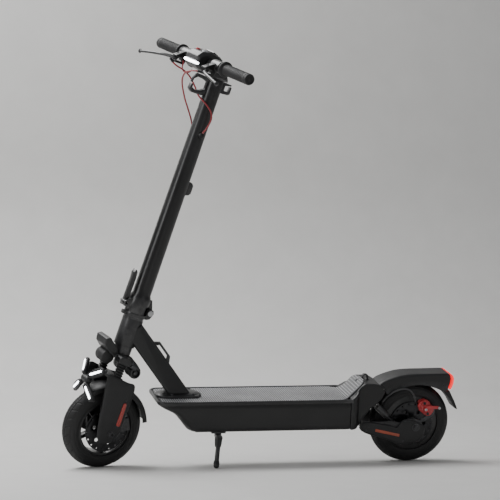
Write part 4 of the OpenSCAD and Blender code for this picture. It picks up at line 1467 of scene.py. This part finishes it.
@dataclass
class Fork:
    """The crown, the legs with their swollen covers, and the crossed front light."""

    def build(self) -> set[str]:
        """Makes the fork's pieces and gives the nodes that they stand for.

        Returns:
            The names of the nodes that its pieces stand for.
        """
        install(cast("fork_crown", CHARCOAL, 1.8, 6), "steerer")
        install(cast("fork_legs", CHARCOAL, 2.0, 6), "fork")
        install(cast("light_frame", SOFT_PLASTIC, 1.4, 3), "fork")
        for side, word in ((-1, "left"), (1, "right")):
            cover = shield(f"leg_cover_{word}", STEER, LEG_COVER, side * (LEG_FACE - 0.5),
                           side * (LEG_FACE + 6.4),
                           SOFT_PLASTIC, 6.0, middle=(6, 205))
            if side < 0:
                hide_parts("leg_covers")
            install(cover, "fork")
            strip = plate(f"leg_reflector_{word}", STEER,
                          [(26, 164), (35.5, 163), (37.5, 167), (36, 233), (33.5, 237),
                                                           (27.5, 236.5), (25, 233), (24.5, 168)],
                          side * (LEG_FACE + 2), side * (LEG_FACE + 8.6), RED_REFLEX, 1.2)
            if side < 0:
                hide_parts("leg_reflectors")
            install(strip, "fork")
            install(self._bellows(word, side), "steerer")
            install(self._boss(word, side), "steerer")
            if side < 0:
                drum = [(-25, 0.3), (-25, 17), (-23.5, 20), (-20, 21), (20, 21), (23.5, 20), (25, 17),
                        (25, 0.3)]
                install(lathe("crown_bumper", STEER.moved(-52.0, 0.0, 353.0), drum, BLACK_RUBBER, 56),
                        "steerer")
            for up in (-1, 1):
                self._light_arm(word, side, up)
        spots = [side_spot(STEER, x, side * 70.0, z) for side in (-1, 1) for x,
                 z in ((31.0, 246.0), (30.0, 140.0))]
        screws("cover_screws", "fork", spots, 3.2, 1.4)
        spots = [side_spot(STEER, FRONT_TRAIL, side * 72.0, 135.8) for side in (-1, 1)]
        screws("axle_caps", "fork", spots, 8.5, 4.0)
        return {"fork_crown", "fork_legs", "light_frame", "leg_covers", "leg_reflectors", "light_bars"}

    def _bellows(self, word: str, side: int) -> bpy.types.Object:
        """A pleated rubber boot around a stanchion.

        Args:
            word: the word for the side in the piece's name.
            side: -1 on the left, 1 on the right.

        Returns:
            The new object.
        """
        low, high, pleats = 292.0, 347.0, 7
        profile = [(low, 9.3)]
        for k in range(pleats):
            s = low + (high - low) * k / pleats
            step = (high - low) / pleats
            profile += [(s, 10.6), (s + step * 0.3, 13.6), (s + step * 0.5, 14.2), (s + step * 0.7, 13.6)]
        profile += [(high, 10.6), (high, 9.3)]
        boot = lathe(f"fork_boot_{word}", upright(STEER.moved(-15.0, side * 52.0, 0.0)), profile,
                     BLACK_RUBBER, 40, 30.0)
        tuple(STEER.at(-15.0, side * 52.0, high))
        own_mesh(boot)
        return boot

    def _boss(self, word: str, side: int) -> bpy.types.Object:
        """A round boss with a dished cap on the side of the crown's rear end.

        Args:
            word: the word for the side in the piece's name.
            side: -1 on the left, 1 on the right.

        Returns:
            The new object.
        """
        hub = STEER.moved(35.0, 0.0, 331.0)
        space = Space(hub.origin, hub.x, hub.y * side, hub.z)
        profile = [(20, 0.3), (20, 17), (46, 17), (47, 18.2), (57, 18.2), (60, 17.4), (62, 15.6),
                   (62.4, 13.8), (61.8, 12.6),
                   (56, 11.6), (56, 7), (60.6, 6.2), (61.4, 4.6), (61.4, 0.3)]
        return lathe(f"crown_boss_{word}", space, profile, CAST_BLACK, 48)

    def _arm_space(self, side: int, up: int) -> Space:
        """The space of one arm of the crossed light: X out along it, Y forwards and Z across.

        Args:
            side: -1 on the left, 1 on the right.
            up: 1 on the upper arm, -1 on the lower one.

        Returns:
            The space.
        """
        lean, rise = math.radians(19.0 if up > 0 else 12.0), math.radians(37.0) * up
        along = STEER.way(math.sin(lean), side * math.cos(lean) * math.cos(rise),
                          math.cos(lean) * math.sin(rise))
        facing = -STEER.way(math.cos(lean), -side * math.sin(lean) * math.cos(rise),
                            -math.sin(lean) * math.sin(rise))
        across = STEER.way(0.0, -side * math.sin(rise), math.cos(rise))
        base = STEER.at(-84.0 + (5.2 if up > 0 else 1.6), side * 37.0, 269.0 + up * 29.0)
        return Space(base, along, facing, across)

    def _light_arm(self, word: str, side: int, up: int) -> None:
        """The flat housing on one arm of the crossed light, and the glowing bar in it.

        Args:
            word: the word for the side in the piece's name.
            side: -1 on the left, 1 on the right.
            up: 1 on the upper arm, -1 on the lower one.
        """
        space = self._arm_space(side, up)
        place = f"{word}_{'low' if up < 0 else 'high'}"
        half = [(33, 4), (31, 9), (25, 13), (8, 14), (-10, 12), (-26, 8), (-31, 3)]
        outline = half + [(u, -v) for u, v in reversed(half)]
        install(plate(f"light_petal_{place}", space, outline, -3.0, 6.4, SOFT_PLASTIC, 2.4), "fork")
        bar = plate(f"light_bar_{place}", space, rounded(-19.0, 26.0, 3.1, 2.9, 2.9, 4), 4.0, 8.6,
                    WHITE_LIGHT, 0.8)
        if side < 0 and up < 0:
            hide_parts("light_bars")
        install(bar, "fork")


# ---------- the cockpit ----------

LEFT_CABLE = [(-112, -100, 1250), (-120, -92, 1249), (-128, -80, 1246), (-133, -64, 1240),
              (-132, -44, 1230),
              (-122, -22, 1214), (-105, -2, 1195), (-84, 14, 1174), (-62, 27, 1152), (-40, 34, 1130),
              (-20, 38, 1108),
              (-8, 37, 1090), (-2, 33, 1076)]
RIGHT_CABLE = [(-112, 100, 1250), (-105, 93, 1243), (-94, 84, 1237), (-74, 68, 1231), (-57, 49, 1218),
               (-44, 28, 1197),
               (-35, 8, 1177), (-28, -13, 1168), (-16, -31, 1157), (-3, -40, 1143), (4, -42, 1126),
               (4, -41, 1108),
               (1, -38, 1091), (-2, -33, 1076)]
THROTTLE_LEAD = [(-81, 82, 1256), (-81, 77, 1256), (-83, 72, 1249), (-84, 68, 1239), (-80, 63, 1230),
                 (-72, 56, 1228),
                 (-66, 49, 1233), (-64, 43, 1242)]


@dataclass
class Cockpit:
    """The housing, the grips, the levers and the cables."""

    bar_half: float = 286.0
    bar_radius: float = 11.1
    grip_start: float = 135.0
    grip_radius: float = 16.5
    lever_at: tuple[float, float, float] = (-34.0, 96.0, -22.0)
    cable: float = 2.5

    def build(self) -> set[str]:
        """Makes the cockpit's pieces and gives the nodes that they stand for.

        Returns:
            The names of the nodes that its pieces stand for.
        """
        bar = STEER.moved(BAR[0], 0.0, BAR[1])
        install(cast("cockpit_housing", DOME_PLASTIC, 1.5, 12), "stem")
        install(self._strip(bar), "stem")
        install(cast("lever_perches", SATIN_BLACK, 1.3, 4), "stem")
        for side, word in ((-1, "left"), (1, "right")):
            mirrored = Space(bar.origin, bar.x, bar.y * side, bar.z)
            grip = self._grip(f"grip_{word}", mirrored)
            if side < 0:
                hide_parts("grips")
            install(grip, "stem")
            lever = self._lever(f"lever_{word}", mirrored)
            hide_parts(f"brake_lever_{word}")
            install(lever, f"{word}_brake")
        spots = [Spot(bar.at(12.0, side * (96.0 + d), -13.5), bar.way(0.7, 0.0, -0.7), bar.y)
                 for side in (-1, 1)
                 for d in (-12.0, 12.0)]
        screws("clamp_screws", "stem", spots, 3.0, 2.0)
        self._cables()
        return {"cockpit_housing", "lever_perches", "grips", "brake_lever_left", "brake_lever_right",
                "brake_cables",
                "headlight"}

    def _strip(self, bar: Space) -> bpy.types.Object:
        """The headlight: a slim strip that wraps round the front of the housing.

        Args:
            bar: the space of the handlebar.

        Returns:
            The new object.
        """
        route = [(-35, -38.5, -11), (-42, -34, -11), (-45.2, -24, -11), (-46.4, 0, -11), (-45.2, 24, -11),
                 (-42, 34, -11),
                 (-35, 38.5, -11)]
        strip = tube("headlight_strip", bar, route, lambda t: (4.2, 4.2), WHITE_LIGHT, 16, 8)
        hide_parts("headlight")
        return strip

    def _grip(self, name: str, bar: Space) -> bpy.types.Object:
        """A ribbed grip with a collar at its inner end and a cap at its outer one.

        Args:
            name: the piece's name.
            bar: the space of the handlebar.

        Returns:
            The new object.
        """
        r0, r1 = self.bar_radius + 0.05, self.grip_radius
        y0, y1 = self.grip_start, self.bar_half
        profile = [(y0, r0), (y0, r1 + 5), (y0 + 1, r1 + 6.6), (y0 + 5, r1 + 6.6), (y0 + 8, r1 + 4),
                   (y0 + 11, r1)]
        ribs = int((y1 - y0 - 30) / 5)
        for k in range(ribs):
            y = y0 + 13 + 5 * k
            profile += [(y, r1), (y + 0.5, r1 - 0.8), (y + 1.7, r1 - 0.8), (y + 2.2, r1)]
        profile += [(y1 - 12, r1), (y1 - 11, r1 - 0.9), (y1 - 9.5, r1 - 0.9), (y1 - 8.5, r1), (y1 - 3, r1),
                    (y1 - 0.8, r1 - 0.9),
                    (y1, r1 - 3), (y1 - 0.2, r1 - 5), (y1 - 1.2, r1 - 6), (y1 - 1.2, 5.0), (y1 - 0.6, 4.0),
                    (y1 - 0.6, 0.4),
                    (y1 - 3.9, 0.4), (y1 - 3.9, r0)]
        return lathe(name, bar, profile, GRIP_RUBBER, 64, 32.0)

    def _lever(self, name: str, bar: Space) -> bpy.types.Object:
        """A brake lever: a bladed arm from its pivot out along the bar, with a ball on its end.

        Args:
            name: the piece's name.
            bar: the space of the handlebar.

        Returns:
            The new object.
        """
        x, y, z = self.lever_at
        route = [(x, y, z), (x - 8, y + 9, z), (x - 20, y + 27, z - 0.8), (x - 31, y + 46, z - 3.6),
                 (x - 38, y + 78, z - 8.4),
                 (x - 41, y + 112, z - 13.4), (x - 43, y + 142, z - 18), (x - 44, y + 155, z - 20)]

        def section(t: float) -> tuple[float, float]:
            """Half width and half height of the arm at a fraction of its length.

            Args:
                t: the fraction of its length, from 0 to 1.

            Returns:
                Half the width and half the height.
            """
            ball = 3.0 * math.exp(-(((t - 0.975) / 0.03) ** 2))
            boss = 5.4 * math.exp(-((t / 0.26) ** 2))
            return 5.0 - 1.0 * t + ball + boss * 0.5, 4.9 - 0.9 * t + ball * 0.9
        return tube(name, bar, route, section, SATIN_BLACK, 16, 7)

    def _cables(self) -> None:
        """Both brake cables with a crimp where each one enters, and the throttle's lead."""
        pieces = [tube("cable_left", STEER, LEFT_CABLE, self.cable, RED_SLEEVE, 12, 6),
                  tube("cable_right", STEER, RIGHT_CABLE, self.cable, RED_SLEEVE, 12, 6),
                  tube("throttle_wire", STEER, THROTTLE_LEAD, 1.9, RED_SLEEVE, 10, 6)]
        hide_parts("brake_cables")
        for piece in pieces:
            install(piece, "stem")
        for word, route in (("left", LEFT_CABLE), ("right", RIGHT_CABLE)):
            start, towards = STEER.at(*route[0]), STEER.at(*route[1])
            crimp = lathe(f"crimp_{word}", aimed(start, towards - start),
                          [(-3, 0.3), (-3, 4), (1, 4), (1.5, 3.4), (8, 3.4), (8.5, 3.9), (11, 3.9),
                           (12, 2.7), (12, 0.3)],
                          DARK_STEEL, 24)
            install(crimp, "stem")


# ---------- the rear end ----------

MOTOR_COVER = [(323, 146), (360, 140), (398, 133), (414, 128), (424, 138), (437, 151), (462, 149),
               (487, 140), (503, 127),
               (504, 106), (491, 85), (462, 76), (430, 72), (391, 86), (355, 98), (319, 109), (305, 118),
               (301, 130),
               (308, 142)]


@dataclass
class RearEnd:
    """The covers on the swing arms, the red caliper and its hose."""

    arm_face: float = 75.0
    caliper_turn: float = -52.0

    def build(self) -> set[str]:
        """Makes the rear end's pieces and gives the nodes that they stand for.

        Returns:
            The names of the nodes that its pieces stand for.
        """
        for side, word in ((-1, "left"), (1, "right")):
            cover = shield(f"arm_cover_{word}", DECK, MOTOR_COVER, side * (self.arm_face - 0.3),
                           side * (self.arm_face + 7.6),
                           SOFT_PLASTIC, 9.0, middle=(420, 114))
            if side < 0:
                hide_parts("motor_cover")
            install(cover, "swing_arm")
        spots = [side_spot(DECK, x, side * 82.0, z) for side in (-1, 1) for x,
                 z in ((322.0, 133.0), (316.0, 120.0), (436.0, 84.0))]
        screws("arm_screws", "swing_arm", spots, 3.4, 1.8)
        hose = tube("hose_rear", DECK,
                    [(376, -40, 199), (381, -43, 208), (392, -47, 220), (408, -51, 232), (426, -54, 240),
                                        (442, -57, 243), (456, -60, 239), (466, -61, 229), (472, -61, 216),
                                        (476, -60, 204)],
                    2.7, HOSE_SLEEVE, 12, 6)
        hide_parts("rear_hose")
        install(hose, "swing_arm")
        self._caliper()
        return {"motor_cover", "rear_hose", "rear_caliper"}

    def _caliper(self) -> None:
        """The rear caliper: two halves over the disc, a piston boss, its arm and bolts."""
        hub = REAR_HUB.turned(self.caliper_turn)
        outline = [(46, -8), (48, -20), (58, -28), (74, -27), (84, -18), (82, -7), (88, 4), (84, 19),
                   (70, 28), (56, 25),
                   (47, 12)]
        outer = plate("caliper_outer", hub, outline, -47.0, -35.2, RED_PAINT, 2.4, 3)
        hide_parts("rear_caliper")
        install(outer, "swing_arm")
        step = [(x0 * 0.78 + 14.6, z0 * 0.76) for x0, z0 in outline]
        install(plate("caliper_step", hub, step, -51.0, -46.0, RED_PAINT, 1.6, 3), "swing_arm")
        inner = plate("caliper_inner", hub, outline, -31.0, -24.5, RED_PAINT, 1.6, 3)
        install(inner, "swing_arm")
        bridge = plate("caliper_bridge", hub, [(71, -20), (80, -13), (79, 0), (82, 6), (78, 16), (71, 20)],
                       -36.0, -30.0,
                       RED_PAINT, 1.0, 2)
        install(bridge, "swing_arm")
        install(plate("caliper_bracket", hub,
                      [(20, -22), (30, -30), (60, -40), (76, -36), (86, -24), (74, -22), (58, -26),
                                               (40, -20), (26, -14)], -34.9, -31.2, ALLOY, 0.8, 2),
                                               "swing_arm")
        boss_space = hub.moved(62.0, -50.0, 2.0)
        boss = lathe("caliper_boss", Space(boss_space.origin, boss_space.x, -boss_space.y, -boss_space.z),
                     [(-2, 0.3), (-2, 13), (3, 13), (5, 11.6), (6, 9.5), (6, 8), (4.4, 7.6), (4.4, 5),
                      (7, 4.6), (8, 3.6), (8, 0.3)],
                     RED_PAINT, 48)
        install(boss, "swing_arm")
        arm = plate("caliper_arm", hub,
                    [(56, -4), (62, -9), (70, -8), (86, -26), (92, -34), (96, -31), (94, -22), (76, 4),
                     (64, 9),
                                         (56, 6)], -61.0, -57.5, RED_PAINT, 1.0, 2)
        install(arm, "swing_arm")
        spots = [Spot(hub.at(x, -50.6, z), -hub.y, hub.x) for x, z in ((55.0, -15.0), (74.0, 15.0))]
        screws("caliper_bolts", "swing_arm", spots, 4.4, 3.6, DARK_STEEL)
        spots = [Spot(hub.at(62.0, -61.0, 2.0), -hub.y, hub.x),
                 Spot(hub.at(92.0, -61.0, -29.0), -hub.y, hub.x)]
        screws("caliper_pins", "swing_arm", spots, 4.4, 2.6, STEEL)


ASSEMBLIES = [Deck(), Tail(), Wheels(), Fork(), Cockpit(), RearEnd()]


# ---------- studio ----------


@dataclass(frozen=True)
class Studio:
    """A pale floor that curves up behind the scooter, soft lights and the camera."""

    eye: tuple[float, float, float] = (-1.601, -6.486, 0.6565)
    heading: float = -13.17
    lens: float = 161.4
    floor_half: float = 9.0
    wall_y: float = 2.6

    def build(self) -> None:
        """Makes the floor, the lights, the world and the camera."""
        self._floor()
        self._lights()
        self._camera()

    def _floor(self) -> None:
        """A floor with a round sweep up to a wall."""
        sweep = [(-self.floor_half, 0.0), (self.wall_y - 1.0, 0.0)]
        sweep += [(self.wall_y - 1.0 + math.sin(a), 1.0 - math.cos(a)) for a in
                  (math.pi / 2 * k / 16 for k in range(1, 17))]
        sweep.append((self.wall_y, 6.0))
        points = [Vector((x, y, z)) for y, z in sweep for x in (-self.floor_half, self.floor_half)]
        faces = [(2 * k, 2 * k + 1, 2 * k + 3, 2 * k + 2) for k in range(len(sweep) - 1)]
        mesh = bpy.data.meshes.new("studio_floor")
        mesh.from_pydata([tuple(p) for p in points], [], faces)
        floor = bpy.data.objects.new("studio_floor", mesh)
        bpy.context.scene.collection.objects.link(floor)
        shade(mesh, 60.0)
        mesh.materials.append(Finish("studio_grey", (0.72, 0.715, 0.70), 0.7, drift=0.03, wear=0.0,
                                     grain=40.0).material())

    def _lights(self) -> None:
        """A broad light above and behind, a long one at the side and a weak fill in front."""
        self._area("key_light", (-1.6, 1.3, 3.4), (0.0, 0.0, 0.4), (3.4, 1.8), 165.0)
        self._area("side_light", (-3.6, -1.4, 2.2), (-0.2, 0.0, 0.6), (1.2, 2.4), 38.0)
        self._area("fill_light", (2.6, -4.2, 2.4), (0.1, 0.0, 0.4), (3.0, 2.0), 16.0)
        world = bpy.data.worlds.new("studio")
        bpy.context.scene.world = world
        world.use_nodes = True
        world.node_tree.nodes["Background"].inputs[0].default_value = (0.80, 0.81, 0.83, 1.0)
        world.node_tree.nodes["Background"].inputs[1].default_value = 0.24

    def _area(self, name: str, place: tuple[float, float, float], aim: tuple[float, float, float],
              size: tuple[float, float], power: float) -> None:
        """Adds a rectangular light that faces a point.

        Args:
            name: the light's name.
            place: where the light stands, in metres.
            aim: the point that it faces.
            size: its width and height, in metres.
            power: its power in watts.
        """
        light = bpy.data.lights.new(name, "AREA")
        light.shape = "RECTANGLE"
        light.size, light.size_y = size
        light.energy = power
        lamp = bpy.data.objects.new(name, light)
        lamp.location = place
        lamp.rotation_euler = (Vector(aim) - Vector(place)).to_track_quat("-Z", "Y").to_euler()
        bpy.context.scene.collection.objects.link(lamp)

    def _camera(self) -> None:
        """The camera, level and turned to the scooter's left side."""
        camera = bpy.data.cameras.new("camera")
        camera.lens = self.lens
        camera.sensor_width = 36.0
        camera.clip_end = 60.0
        eye = bpy.data.objects.new("camera", camera)
        eye.location = self.eye
        eye.rotation_euler = (math.radians(90.0), 0.0, math.radians(self.heading))
        bpy.context.scene.collection.objects.link(eye)
        bpy.context.scene.camera = eye


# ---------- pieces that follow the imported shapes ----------

EASED: dict[str, tuple[Finish, float]] = {
    "bottom_cover": (SOFT_PLASTIC, 0.8),
    "neck_frame": (CHARCOAL, 1.6),
    "mud_flap": (BLACK_RUBBER, 1.0),
    "stand_bracket": (CAST_BLACK, 1.2),
    "charge_flap": (BLACK_RUBBER, 0.8),
    "stand_leg": (SATIN_BLACK, 0.6),
    "crown_dampers": (ALLOY, 1.2),
    "hinge_collar": (SATIN_BLACK, 1.5),
    "hinge_pin": (STEEL, 0.8),
    "fold_lever": (SATIN_BLACK, 1.6),
    "front_fender": (SOFT_PLASTIC, 0.8),
    "front_axle": (DARK_STEEL, 1.0),
    "front_caliper": (CAST_BLACK, 2.0),
    "front_rim": (SATIN_BLACK, 1.5),
    # the front disc takes the steel with painted shade
    "front_rotor": (SHADED_DISC_STEEL, 0.3),
    "stem_tube": (SATIN_BLACK, 1.2),
    "stem_hook": (CAST_BLACK, 0.8),
    "handlebar": (SATIN_BLACK, 0.8),
    "display_lens": (GLASS_BLACK, 0.6),
    "cable_grommet": (BLACK_RUBBER, 0.6),
    "bag_hook": (SATIN_BLACK, 1.0),
    "thumb_throttle": (SOFT_PLASTIC, 1.0),
    "power_button": (RED_PAINT, 1.0),
    "mode_button": (WHITE_PLASTIC, 1.0),
    "bag_gate": (DARK_STEEL, 0.6),
    "swing_arms": (CAST_BLACK, 1.5),
    "arm_reflectors": (AMBER_REFLEX, 0.7),
    "hub_motor": (SATIN_BLACK, 1.0),
    # the rear disc takes the steel with painted shade
    "rear_rotor": (SHADED_DISC_STEEL, 0.3),
    "shock_upper": (SATIN_BLACK, 0.8),
    "shock_lower": (DARK_STEEL, 0.8),
}
KEPT: dict[str, Finish] = {
    "battery_pack": BATTERY_WRAP,
    "motor_controller": ALLOY,
    "headset_cups": SATIN_BLACK,
    "motor_axle": DARK_STEEL,
}


def dress(done: set[str]) -> None:
    """Gives every node that no other piece stands for its eased edges or its finish.

    Args:
        done: the nodes that already have a piece of their own.
    """
    for node, (finish, width) in EASED.items():
        if node not in done:
            install(eased(node, finish, width), body_of(node))
    for node, finish in KEPT.items():
        if node not in done:
            mesh = frame["nodes"][node].data
            mesh.materials.clear()
            mesh.materials.append(finish.material())


def main() -> None:
    """Builds the studio and every sub-assembly in order."""
    logging.basicConfig(level=logging.INFO, format="%(message)s")
    Studio().build()
    done: set[str] = set()
    for assembly in ASSEMBLIES:
        done |= assembly.build()
    dress(done)


if __name__ == "__main__":
    main()
